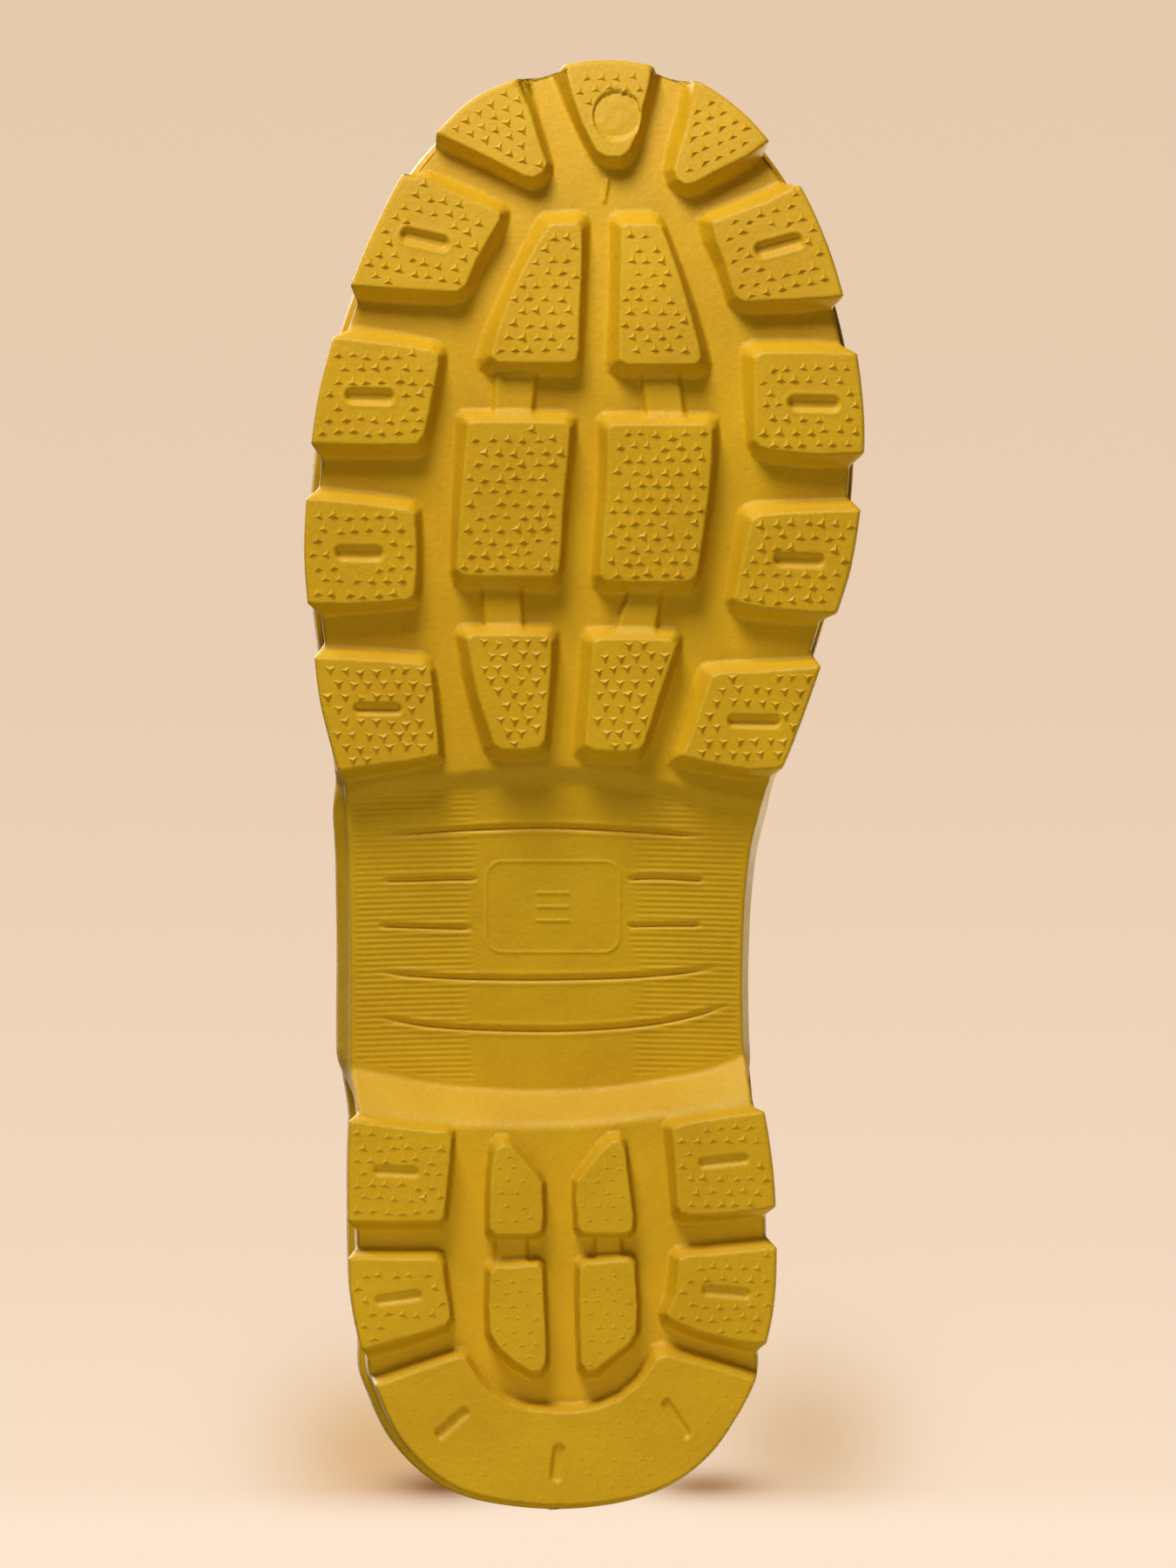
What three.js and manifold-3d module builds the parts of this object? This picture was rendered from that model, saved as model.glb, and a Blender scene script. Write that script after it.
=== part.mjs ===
// Deck boot, right foot: an ankle-high moulded rubber boot with elastic side gussets.
// Millimetres, +Z up. The toe points along -Y, the heel along +Y, the inner (medial) side
// of the right foot is +X. The treads of the ball and the heel stand on Z = 0.
import * as THREE from "three";
import { mergeVertices } from "three/addons/utils/BufferGeometryUtils.js";
import Module from "manifold-3d";

const wasm = await Module();
wasm.setup();

// ---------------------------------------------------------------- driving dimensions
const TREAD_DEPTH = 4.5; // lug height over the base of the tread
const SLOT_DEPTH = 1.8; // blind slots in the edge lugs
const BAR_PROUD = 1.5; // link bars between the middle lugs
const TOE_SPRING = 13; // rise of the tread at the tip of the toe
const SPRING_START = -55; // the tread is flat behind this Y
const WAIST_FRONT_Z = 6.2; // underside of the waist behind the forefoot
const WAIST_REAR_Z = 12.5; // underside of the waist at the heel breast
const FORE_TOP = 9; // top of the outsole under the ball
const HEEL_LIFT = 12; // extra height of the outsole top at the heel
const LIFT_START = -25, LIFT_END = 58; // the outsole top rises between these Y
const NOTCH_FORE = 2.5, NOTCH_HEEL = 1.9; // lugs stand this far outside the sidewall
const BUTTRESS_TOP = 11; // a lug's outer face runs into the sidewall by this height
const FOXING_OUT = 1.0, FOXING_HEIGHT = 11.5;
const UPPER_INSET = 3.6; // outer face of the upper, inside the sidewall line
const UPPER_WALL = 2.4, LINING_AT = 4.2, LINING_WALL = 1.2, PUFF_WALL = 1.2;
const BOARD_INSET = 8.2, BOARD = 1.8;
const FOOTBED_INSET = 9.6, FOAM = 4.2, COVER = 1.2;
const GAP = 0.3; // between pieces that touch
const TOP_LINE = 158; // upper edge of the wall, under the binding
const COLLAR_TOP = 165;
const FAN = [-95, COLLAR_TOP]; // Y, Z of the line that the section planes of the upper turn about
const LOOP_WIDTH = 20, LOOP_BAND = 1.6, LOOP_FOOT = 1.4;

// outline of the tread seen from above, toe first, clockwise over the inner side
const ENVELOPE = [[5,-136.2],[13.8,-135],[21.9,-132.1],[29.1,-127.2],[35,-120.9],[40.9,-112.2],[45.5,-102.1],[48.7,-91.8],[51.2,-80.8],[52.4,-70.1],[52.5,-61.9],[51.9,-52.1],[50.1,-40.6],[47.4,-31.6],[44.3,-21.6],[40.6,-11.1],[37.3,-2.9],[34,3.6],[31.7,11.8],[30.6,21.6],[30.2,31.5],[30.2,41.3],[30.7,51.9],[32.4,58.5],[33.8,62.6],[35.1,70.8],[35.8,79],[36,90.5],[35.5,98.6],[34,106],[31.7,113.4],[28.3,119.9],[23.5,126.5],[16.8,131.7],[7.8,134.9],[-3.7,136.2],[-15.2,135.3],[-23.4,133.1],[-29.9,129],[-35.6,122.4],[-39.4,114.2],[-42.4,106],[-44.2,97],[-44.7,88.8],[-44.8,80.6],[-44.8,70.8],[-44.5,63.4],[-44,54.4],[-44,41.3],[-44,31.5],[-44.2,21.6],[-44.5,11.8],[-45.3,3.6],[-46.9,-2.9],[-48.7,-9.5],[-50.2,-16.1],[-51.2,-24.3],[-52.4,-34.1],[-53,-42.3],[-52.8,-50.5],[-51.9,-61.9],[-50.4,-72.6],[-47.9,-82.4],[-44.3,-93.1],[-39.7,-104.1],[-34,-114.9],[-27.6,-122.6],[-20.9,-128.8],[-12.4,-132.7],[-3.7,-135.3]];

// each lug: outline of its tread face on the ground and of its root on the base
const LUGS = {
  toe_centre: { tread: [[-3.5,-135],[5,-136.2],[13.2,-135],[11.1,-127.2],[10.2,-122.6],[8.4,-119],[7,-118],[4.2,-118],[2.5,-119],[-0.1,-124.2],[-2,-129.9]],
    root: [[-2.7,-134.4],[5,-136.2],[12.2,-134.2],[13.2,-126.8],[11.5,-121.1],[9.2,-116.7],[7.5,-115.5],[4,-115.5],[1.9,-116.8],[-1.5,-123.1],[-4.7,-130.5]] },
  toe_left: { tread: [[-12.2,-132.7],[-18.4,-129.4],[-23.4,-126],[-27.4,-122.4],[-18.4,-118],[-11.4,-114.4],[-9.7,-114],[-7.9,-114.9],[-7.1,-116.5],[-8.6,-120.9],[-9.9,-125.8]],
    root: [[-12.8,-131],[-18.5,-129.7],[-23.6,-126.1],[-26,-122.5],[-19.6,-116],[-10,-111.5],[-8.3,-111.9],[-6.3,-113.3],[-5.4,-115.3],[-6.4,-120.3],[-8.3,-126.6]] },
  toe_right: { tread: [[21.5,-131.9],[29.1,-127.2],[34.8,-120.9],[30.7,-118.1],[25.8,-115.7],[20.9,-113.1],[19.3,-112.7],[17.6,-113.7],[17.1,-115.5],[17.8,-118],[19.3,-122.6],[20.4,-127.5]],
    root: [[22,-130.3],[29.1,-127.2],[33,-121],[32.8,-116.9],[26.4,-112.8],[19.6,-110.1],[17.9,-110.3],[16,-111.9],[15.1,-113.9],[15,-116.5],[16.5,-123.1],[18.5,-130.1]] },
  edge_left_2: { tread: [[-34,-114.5],[-29.9,-113.6],[-23.4,-110.3],[-17.5,-108],[-16.1,-107.2],[-16.1,-105.9],[-18.4,-102.1],[-20.7,-98],[-22.5,-93.7],[-24,-92.4],[-28.3,-92.6],[-36.5,-93.1],[-43.7,-93.6],[-39.7,-104.1]],
    root: [[-33.8,-114],[-29.9,-115.5],[-21.5,-112.6],[-14.7,-109.3],[-13.6,-108.1],[-13.6,-106.6],[-15.6,-102.1],[-18.6,-97],[-21.2,-92.2],[-22.7,-90.3],[-27.8,-89.7],[-38.5,-90.3],[-43.2,-93.9],[-39.7,-104.1]] },
  edge_right_2: { tread: [[24.2,-105.5],[29.1,-107.3],[34,-109.1],[38.1,-111.3],[40.7,-112.2],[45.5,-102.1],[48.7,-91.6],[40.6,-91.1],[34,-90.8],[30.2,-90.6],[28.6,-91.4],[27.9,-93.1],[26.6,-98],[25,-102.1]],
    root: [[21.4,-106.8],[26.8,-109.6],[33.3,-111.9],[38.4,-113.5],[40.7,-112.3],[45.5,-102.1],[47.8,-92.2],[41.9,-88.4],[33.3,-88],[28.6,-88.2],[26.9,-89.5],[26.1,-91.6],[24.1,-97.5],[21.7,-102.7]] },
  edge_left_3: { tread: [[-47.3,-83.6],[-41.4,-82.9],[-34.8,-82.1],[-28.9,-81.1],[-27.8,-80.3],[-27.9,-78.3],[-28.8,-74.2],[-29.7,-69.3],[-30.7,-65.2],[-31.9,-63.7],[-38.1,-63.6],[-44.7,-63.7],[-51.5,-63.9],[-50.4,-72.6]],
    root: [[-47.3,-83.6],[-41.9,-86],[-33.4,-84.7],[-26.6,-82.8],[-25.8,-81.5],[-25.7,-79.3],[-26.4,-74.5],[-27.4,-68.5],[-28.5,-63.3],[-29.9,-61.3],[-37.6,-60.6],[-46.3,-60.6],[-50.8,-64.4],[-50.4,-72.6]] },
  edge_right_3: { tread: [[32,-79.8],[33.3,-80.8],[42.2,-80.9],[50.9,-80.6],[52.4,-70.1],[52.5,-62.1],[43.8,-61.8],[37.3,-62.4],[33,-63.2],[32,-64.4],[32,-70.1],[32,-75]],
    root: [[29.3,-82],[30.9,-83.3],[42.2,-83.6],[50.5,-80.2],[52.4,-70.1],[51.8,-62.7],[44.3,-59.1],[35.8,-59.6],[31.2,-61.6],[30.4,-63.3],[29.6,-69.8],[29.1,-76.1]] },
  edge_left_4: { tread: [[-52.7,-53.3],[-47.9,-52.9],[-41.4,-52.3],[-33.5,-51.1],[-32.4,-50.3],[-32,-45.6],[-32,-39],[-32.5,-35.1],[-33.5,-34.4],[-38.1,-33.9],[-44.7,-33.6],[-52,-33.8],[-53,-42.3]],
    root: [[-52.5,-53.1],[-49.4,-55.8],[-41,-55],[-31.3,-53],[-30.4,-51.7],[-30.2,-46],[-30.2,-38.3],[-30.7,-33.7],[-31.7,-32.7],[-37.2,-32.1],[-45.1,-31.5],[-51.9,-33.9],[-53,-42.3]] },
  edge_right_4: { tread: [[31.4,-49.2],[33,-50.1],[37.3,-50.5],[43.8,-50.8],[51.4,-51.1],[50.1,-40.6],[47.4,-32],[40.6,-32.3],[34,-32.9],[29.1,-33.8],[28.1,-34.7],[29.1,-39],[30.2,-43.9]],
    root: [[28.8,-51.5],[30.7,-52.9],[36.4,-53.4],[45,-53.7],[51.2,-50.9],[50.1,-40.6],[47.3,-32.2],[40.8,-29.5],[32.1,-30.2],[26.8,-32.1],[26.2,-33.6],[26.7,-38.4],[27.6,-44.5]] },
  edge_left_5: { tread: [[-51.2,-23.4],[-44.7,-23.1],[-36.5,-22.6],[-30.9,-22.1],[-29.4,-21.1],[-28.8,-16.1],[-28.1,-9.5],[-27.8,-5.2],[-33.2,-4.1],[-39.7,-3.3],[-46.6,-2.3],[-48.7,-9.5],[-50.2,-16.1]],
    root: [[-51.1,-23.3],[-46.3,-26],[-35.7,-25.3],[-29.1,-24],[-28.1,-22.1],[-27.2,-16.5],[-26.4,-8.9],[-26,-3.9],[-32,-2.3],[-39.8,-1],[-46.6,-2.3],[-48.7,-9.5],[-50.2,-16.1]] },
  edge_right_5: { tread: [[24,-19.8],[25.5,-20.5],[30.7,-20.6],[37.3,-21.1],[44.3,-21.6],[40.6,-11.1],[37.1,-2.8],[30.7,-2.5],[24.2,-3.6],[18.3,-5.1],[19.6,-7.4],[20.9,-11.1],[22.5,-16.1]],
    root: [[21.6,-22.3],[23.8,-22.9],[30.5,-23.4],[39,-23.7],[43.3,-20.9],[40.6,-11.1],[37,-3],[30.6,-0.3],[22.5,-1.6],[14.9,-3.3],[15.4,-5.7],[17.4,-10.8],[19.7,-17.4]] },
  mid_left_1: { tread: [[-6.6,-104.7],[-5.7,-105],[-1.4,-105.2],[-0.7,-104.2],[-0.7,-98],[-1.1,-89.8],[-1.4,-81.6],[-1.7,-79.5],[-2.9,-79],[-11.9,-79],[-16.5,-79.1],[-17.6,-80.3],[-16.3,-85.2],[-14.3,-90.6],[-11.9,-96],[-9.4,-100.6]],
    root: [[-6.4,-107.8],[-5.3,-107.9],[-0.3,-107.9],[0.9,-107.4],[1.3,-100.3],[0.7,-89.7],[-0,-79.6],[-0.5,-77.4],[-1.7,-76.2],[-13,-76.2],[-18.5,-76.6],[-20.4,-77.5],[-19.8,-83.2],[-16.7,-90.7],[-13.3,-97.9],[-10.1,-104.4]] },
  mid_right_1: { tread: [[7.1,-104.5],[8.1,-105],[13.4,-105],[14.5,-104.4],[16,-100.4],[17.9,-94.7],[19.7,-88.2],[21.4,-81.6],[21.5,-79.6],[20.6,-78.7],[14.3,-78.7],[8.1,-78.7],[6.6,-79.5],[6.6,-84.9],[6.8,-93.1],[7,-99.6]],
    root: [[5.8,-107.7],[7.1,-108],[13.5,-107.7],[14.8,-107],[16.7,-102.7],[19.2,-95.9],[22,-87.5],[24.4,-78.5],[23.7,-76.9],[22.3,-76.2],[14.6,-75.9],[7,-76],[4.9,-76.6],[3.7,-82.4],[4.4,-94.2],[4.5,-103.6]] },
  mid_left_2: { tread: [[-22,-67.5],[-20.9,-67.8],[-11.9,-67.8],[-4,-67.7],[-3,-66.9],[-3.4,-61.9],[-4,-55.4],[-4.5,-48.8],[-4.8,-42.3],[-5.2,-39.7],[-6.3,-38.7],[-11.9,-38.7],[-18.4,-38.8],[-23,-39],[-24.2,-40],[-23.7,-48.8],[-23.2,-55.4],[-22.5,-61.9]],
    root: [[-23.6,-70.3],[-22.3,-70.6],[-11.6,-70.6],[-2.5,-70],[-1.2,-69.2],[-1.4,-63.6],[-2.3,-55.8],[-3,-48.1],[-3.6,-40.8],[-4.1,-38],[-5,-36.1],[-11.5,-35.7],[-19.3,-36],[-24.6,-36.6],[-25.4,-38.5],[-25.5,-48],[-25.3,-55.9],[-24.9,-64.3]] },
  mid_right_2: { tread: [[4.3,-66.5],[5.3,-67.2],[14.3,-67.3],[22.5,-67.3],[23.8,-66.5],[23.7,-60.3],[23,-53.7],[22.2,-47.2],[21.2,-40.6],[20.7,-38.7],[19.6,-37.9],[14.3,-37.7],[9.4,-37.7],[4,-38],[2.9,-39],[3.4,-45.6],[4,-52.1],[4.3,-58.7]],
    root: [[2.5,-69.2],[3.7,-70.1],[14.5,-70.1],[24.1,-69.8],[25.6,-68.8],[25.4,-61.5],[24.5,-53.8],[23.5,-46.4],[22.2,-39.1],[21.6,-37],[20.6,-35.7],[14.5,-35.2],[8.8,-35.4],[2.4,-35.5],[1.1,-36.6],[1.1,-43.9],[1.7,-51.9],[2.1,-60.1]] },
  mid_left_3: { tread: [[-22.2,-27],[-20.9,-27.7],[-11.9,-27.7],[-7.6,-27.5],[-6.5,-26.7],[-6.8,-19.3],[-7.3,-12.8],[-7.8,-7.9],[-8.8,-6.6],[-11.9,-6.2],[-15.5,-6.2],[-17,-7],[-18.4,-11.1],[-20.1,-16.1],[-21.2,-21.3]],
    root: [[-24.2,-29.1],[-22.8,-30.2],[-11.5,-30.2],[-5.9,-30.2],[-4.7,-29],[-5,-19.7],[-5.8,-11.6],[-6.3,-5.3],[-7.9,-4.5],[-11.6,-3.8],[-15.8,-4.1],[-17.8,-4.3],[-20.3,-8.3],[-22.4,-15.4],[-23.9,-22.5]] },
  mid_right_3: { tread: [[1.6,-26.2],[2.9,-26.9],[9.4,-26.9],[16,-26.7],[17,-25.7],[15.3,-20.6],[13.7,-16.1],[12.2,-11.1],[10.9,-7.2],[9.7,-6.1],[6.1,-5.9],[1.9,-6.1],[0.2,-7],[0.6,-13.6],[1.2,-20.2]],
    root: [[-0.2,-29],[1.6,-29.7],[9.9,-29.7],[17.9,-28.9],[18.8,-27.3],[17.4,-21.5],[15.6,-15.8],[13.5,-9.5],[11.7,-4.9],[10.2,-3.4],[5.8,-3.3],[0.5,-3.4],[-1.7,-4.4],[-2.2,-12.1],[-1.5,-21.5]] },
  heel_edge_left_1: { tread: [[-44.5,63.7],[-38.1,64.6],[-31.5,65.5],[-26.3,65.9],[-25.3,67],[-25.8,72.4],[-26.3,77.3],[-26.8,81.8],[-27.8,82.6],[-36.5,82.7],[-44.7,82.6],[-44.8,74.1]],
    root: [[-44.4,63.8],[-38.6,62.8],[-30.6,63.8],[-25,64.8],[-24.2,66.3],[-24.5,72.2],[-25,77.8],[-25.6,82.9],[-26.6,84],[-36.7,84.6],[-44.7,82.6],[-44.8,74.1]] },
  heel_edge_right_1: { tread: [[16.6,65.4],[17.6,64.6],[20.9,63.9],[27.4,62.9],[33.7,62.1],[35.1,70.8],[35.8,79.8],[27.4,81.1],[20.9,81.4],[18.3,81.1],[17.5,80],[17.1,72.4]],
    root: [[14.7,64.1],[15.8,63.1],[19.9,62.3],[27.6,61.1],[33.6,62.3],[35.1,70.8],[35.7,79.7],[27.6,82.6],[19.9,83.2],[17,82.6],[16,81.4],[15.1,72.5]] },
  heel_edge_left_2: { tread: [[-44.7,89.6],[-36.5,89.8],[-28.3,89.8],[-27.1,90.6],[-26.5,95.4],[-25.8,98.6],[-25.6,100.9],[-26.6,102.2],[-31.5,103.7],[-36.5,105],[-42.4,106.7],[-44.2,97]],
    root: [[-44.6,89.7],[-36.8,87.2],[-26.5,88],[-25.8,89.6],[-25.1,95.1],[-24.7,98.8],[-24.3,101.4],[-25.1,103],[-30.3,105.6],[-36.8,107.7],[-42.2,106.4],[-44.2,97]] },
  heel_edge_right_2: { tread: [[17.8,90],[19.3,89.3],[24.2,89],[30.7,88.3],[36,87.8],[35.5,98.6],[34,105.5],[29.1,105.2],[20.9,103.1],[16,100.9],[15.5,100],[17,96.7],[17.5,93.4]],
    root: [[15.8,88.5],[16.9,87],[23.2,86.2],[32.2,85.3],[35.7,88],[35.5,98.6],[33.9,105.4],[29.7,107.3],[19.6,104.6],[14,101.7],[13.6,100.6],[14.5,96.8],[15.3,92.7]] },
  heel_mid_left_1: { tread: [[-17,69.5],[-15.6,68.3],[-14.2,68.7],[-11.9,71],[-9.3,73.9],[-8.3,75.7],[-8.1,82.3],[-8.4,84.4],[-9.4,85],[-13.5,85.2],[-16.8,85.2],[-17.9,84.1],[-17.9,77.3],[-17.6,72.4]],
    root: [[-18,67.2],[-16.1,66],[-14.4,66],[-11.5,69.1],[-8.3,72.9],[-7.1,75.2],[-7.1,83.2],[-7.7,85.4],[-8.6,86.4],[-13.5,86.4],[-17.4,86.4],[-18.8,85.3],[-19.1,77.2],[-18.7,71]] },
  heel_mid_right_1: { tread: [[5,67.7],[6.5,67.7],[7.3,69.1],[8.1,75.7],[8.9,81.9],[8.8,84.1],[7.8,85],[3.7,85],[-0.1,85],[-1.2,84.1],[-1.7,79],[-1.6,75.2],[0.1,72.9],[2.9,69.5]],
    root: [[5.3,65.6],[7,65.8],[8.1,67.2],[9.1,75.3],[9.9,82.7],[9.5,85],[8.3,86],[3.7,86],[-0.6,85.9],[-1.8,84.9],[-2.7,79.3],[-2.7,74.7],[-0.8,71.7],[2.7,67.3]] },
  heel_mid_left_2: { tread: [[-17.8,92.1],[-16.8,91.4],[-11.9,91.1],[-9.1,90.9],[-8.3,91.8],[-7.9,98.6],[-7.6,106],[-7.6,109.3],[-8.6,110.8],[-10.1,110.9],[-13.5,108.8],[-16.5,106],[-17.8,103.6],[-18.1,98.6]],
    root: [[-18.8,90.5],[-17.7,89.6],[-11.8,89.1],[-8.4,89],[-7.3,89.9],[-6.8,98.2],[-6.5,107.3],[-6.8,110.7],[-8,112.4],[-9.7,112.6],[-13.7,110.7],[-17.4,107.4],[-18.9,104.3],[-19.3,98.3]] },
  heel_mid_right_2: { tread: [[-0.9,91.4],[0.1,90.6],[4.5,90.3],[7.9,90],[9.1,90.9],[9.6,98.6],[9.4,103.6],[7.9,105.9],[4.5,108.5],[2,110.4],[0.4,110.8],[-0.7,109.5],[-1.1,98.6]],
    root: [[-1.9,89.7],[-0.7,88.8],[4.6,88.3],[8.7,88.2],[10.1,89.3],[10.7,98.4],[10.4,104.3],[8.6,107],[4.6,110.4],[1.6,112.5],[-0.2,112.6],[-1.4,111.1],[-2.2,98.4]] },
  heel_horseshoe: { tread: [[-39.6,113.7],[-31.5,110.8],[-24.3,108.3],[-22.9,108.5],[-22,109.8],[-20.2,112.6],[-17.9,115],[-14.7,117],[-11.1,118.1],[-6.1,118.6],[-2,118.6],[2,118],[6.5,116.3],[10.2,113.4],[12.4,110.3],[13.4,108.6],[15.2,108.1],[20.9,109.5],[25.8,110.8],[31.4,112.6],[31.7,113.4],[28.3,119.9],[23.5,126.5],[16.8,131.7],[7.8,134.9],[-3.7,136.2],[-15.2,135.3],[-23.4,133.1],[-29.9,129],[-35.6,122.4],[-39.4,114.2]],
    root: [[-40.2,111.1],[-33.2,108.6],[-26.3,106.3],[-23.2,106],[-21.5,107.2],[-19.9,110],[-17.6,112.7],[-14.5,114.9],[-10.7,116.2],[-6,116.7],[-2,116.7],[1.9,116],[5.8,114.4],[9.1,111.3],[10.9,108.3],[12.2,105.7],[14.3,104.9],[17.1,105.4],[23.4,107.3],[30.9,109.8],[31.7,113.4],[28.3,119.9],[23.5,126.5],[16.8,131.7],[7.8,134.9],[-3.7,136.2],[-15.2,135.3],[-23.4,133.1],[-29.9,129],[-35.6,122.4],[-39.4,114.2]] },
};
const SLOTS = [
  [-30.1, -102.2, 9.5, 3.3, 13],
  [36.6, -101.1, 9.5, 3.3, -15],
  [-40.7, -72.6, 9.3, 3.3, 2],
  [43, -71.3, 9.8, 3.3, 1],
  [-42.7, -43.1, 9.3, 3.3, 1],
  [40.2, -41.8, 9.8, 3.1, 1],
  [-39.2, -13.8, 9.2, 2.5, 1],
  [31.7, -11.5, 10.2, 2.8, 1],
  [-35.8, 73.2, 8.8, 2, 2],
  [26, 71.3, 9.8, 2, -6],
  [-35.3, 97, 9.2, 2, -8],
  [26.5, 96, 9.5, 2.1, 5],
  [-25.2, 120.6, 8.2, 2.1, -41],
  [-5.3, 128.1, 7.4, 2.5, 97],
  [17.1, 119.8, 8.8, 2.1, 56],
]; // centre X, centre Y, length, width, angle in degrees
const BARS = [[[-17,-77.5],[-8.8,-77.5],[-9.7,-68.8],[-17.6,-68.8]],
  [[10.4,-77.5],[17.9,-77.5],[19.1,-68.5],[11.4,-68.5]],
  [[-19.7,-37.4],[-11.9,-37.4],[-11.4,-28.3],[-19.1,-28.3]],
  [[8.1,-36.5],[14.8,-36.5],[13.5,-27.9],[5.2,-27.9]],
  [[-17.1,85.2],[-10.7,85.2],[-10.7,90.5],[-17.1,90.5]],
  [[1.7,84.9],[7.1,84.9],[7.1,89.8],[1.7,89.8]]];
const FRONT_ARC = [[-45.8,2.3],[-38.1,0.3],[-31.5,-0.7],[-25,-1.6],[-18.4,-2.3],[-11.9,-2.6],[-5.3,-2.9],[1.2,-2.6],[7.8,-1.8],[14.3,-0.3],[20.9,1.3],[27.4,2.6],[34.5,3.9]];
const BREAST_TOP = [[-44.7,53.9],[-36.5,55.5],[-28.3,57],[-20.1,57.8],[-11.9,58.3],[-3.7,58.2],[4.5,57.7],[12.7,56.5],[20.9,55.1],[25.8,53.7],[31.1,51.3]];
const BREAST_FOOT = [[-45,61.9],[-38.1,62.8],[-31.5,63.6],[-26.3,64.1],[-18.4,64.4],[-11.9,64.6],[-5.3,64.4],[1.2,64.1],[7.8,63.4],[14,62.6],[20.9,62.1],[27.4,61.1],[34,60]];

// ---------------------------------------------------------------- small maths
const clamp = (v, a, b) => Math.min(b, Math.max(a, v));
const smooth = (a, b, v) => { const t = clamp((v - a) / (b - a), 0, 1); return t * t * (3 - 2 * t); };
const mix = (a, b, t) => a + (b - a) * t;
function lerpTable(table, v) {
  if (v <= table[0][0]) return table[0][1];
  for (let i = 1; i < table.length; i++)
    if (v <= table[i][0]) {
      const [a, p] = table[i - 1], [b, q] = table[i];
      return mix(p, q, (v - a) / (b - a));
    }
  return table[table.length - 1][1];
}
// the same table through a smooth curve
function curveTable(table) {
  const n = table.length, m = [];
  for (let i = 0; i < n; i++) {
    const a = table[Math.max(0, i - 1)], b = table[Math.min(n - 1, i + 1)];
    m.push((b[1] - a[1]) / (b[0] - a[0]));
  }
  return (v) => {
    if (v <= table[0][0]) return table[0][1];
    if (v >= table[n - 1][0]) return table[n - 1][1];
    let i = 1;
    while (v > table[i][0]) i++;
    const [x0, y0] = table[i - 1], [x1, y1] = table[i], h = x1 - x0, t = (v - x0) / h;
    return y0 * (1 + 2 * t) * (1 - t) ** 2 + m[i - 1] * h * t * (1 - t) ** 2 +
      y1 * t * t * (3 - 2 * t) + m[i] * h * t * t * (t - 1);
  };
}
const spring = (y) => TOE_SPRING * (Math.max(0, SPRING_START - y) / (136 + SPRING_START)) ** 2;
const lift = (y) => HEEL_LIFT * smooth(LIFT_START, LIFT_END, y);
const seat = (y) => FORE_TOP + spring(y) + lift(y); // top of the outsole

function offsetOutline(poly, amount) { // amount(y) > 0 moves inwards
  const n = poly.length;
  return poly.map(([x, y], i) => {
    const [ax, ay] = poly[(i + n - 1) % n], [bx, by] = poly[(i + 1) % n];
    const l = Math.hypot(bx - ax, by - ay), d = amount(y);
    return [x - ((by - ay) / l) * d, y + ((bx - ax) / l) * d];
  });
}
function spanAt(poly, y) { // the outline's left and right X at Y
  let lo = Infinity, hi = -Infinity;
  poly.forEach(([x0, y0], i) => {
    const [x1, y1] = poly[(i + 1) % poly.length];
    if ((y0 <= y && y1 > y) || (y1 <= y && y0 > y)) {
      const x = x0 + ((y - y0) / (y1 - y0)) * (x1 - x0);
      lo = Math.min(lo, x); hi = Math.max(hi, x);
    }
  });
  return [lo, hi];
}
function inside(poly, [x, y]) {
  let c = false;
  poly.forEach(([x0, y0], i) => {
    const [x1, y1] = poly[(i + 1) % poly.length];
    if (y0 > y !== y1 > y && x < x0 + ((y - y0) / (y1 - y0)) * (x1 - x0)) c = !c;
  });
  return c;
}
function nearest(poly, [x, y]) {
  let best = [Infinity, 0, 0];
  poly.forEach(([x0, y0], i) => {
    const [x1, y1] = poly[(i + 1) % poly.length], dx = x1 - x0, dy = y1 - y0;
    const t = clamp(((x - x0) * dx + (y - y0) * dy) / (dx * dx + dy * dy), 0, 1);
    const d = Math.hypot(x0 + t * dx - x, y0 + t * dy - y);
    if (d < best[0]) best = [d, x0 + t * dx, y0 + t * dy];
  });
  return [best[1], best[2]];
}
const area = (poly) => poly.reduce((s, [x, y], i) => {
  const [u, v] = poly[(i + 1) % poly.length];
  return s + (x * v - u * y) / 2;
}, 0);

// ---------------------------------------------------------------- meshes and solids
function geometryOf(points, faces) {
  const g = new THREE.BufferGeometry();
  g.setAttribute("position", new THREE.Float32BufferAttribute(points.flat(), 3));
  g.setIndex(faces.flat());
  return g;
}
function solid(geometry) {
  const g = geometry.clone();
  g.deleteAttribute("normal"); g.deleteAttribute("uv");
  const m = mergeVertices(g, 1e-4);
  const kept = [];
  for (let i = 0; i < m.index.array.length; i += 3) {
    const [a, b, c] = m.index.array.slice(i, i + 3);
    if (a !== b && b !== c && a !== c) kept.push(a, b, c);
  }
  m.setIndex(kept);
  let made = new wasm.Manifold(new wasm.Mesh({
    numProp: 3, vertProperties: new Float32Array(m.attributes.position.array),
    triVerts: new Uint32Array(m.index.array),
  }));
  if (made.volume() < 0) {
    const t = Uint32Array.from(m.index.array);
    for (let i = 0; i < t.length; i += 3) [t[i + 1], t[i + 2]] = [t[i + 2], t[i + 1]];
    made = new wasm.Manifold(new wasm.Mesh({
      numProp: 3, vertProperties: new Float32Array(m.attributes.position.array), triVerts: t,
    }));
  }
  return made;
}
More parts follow.
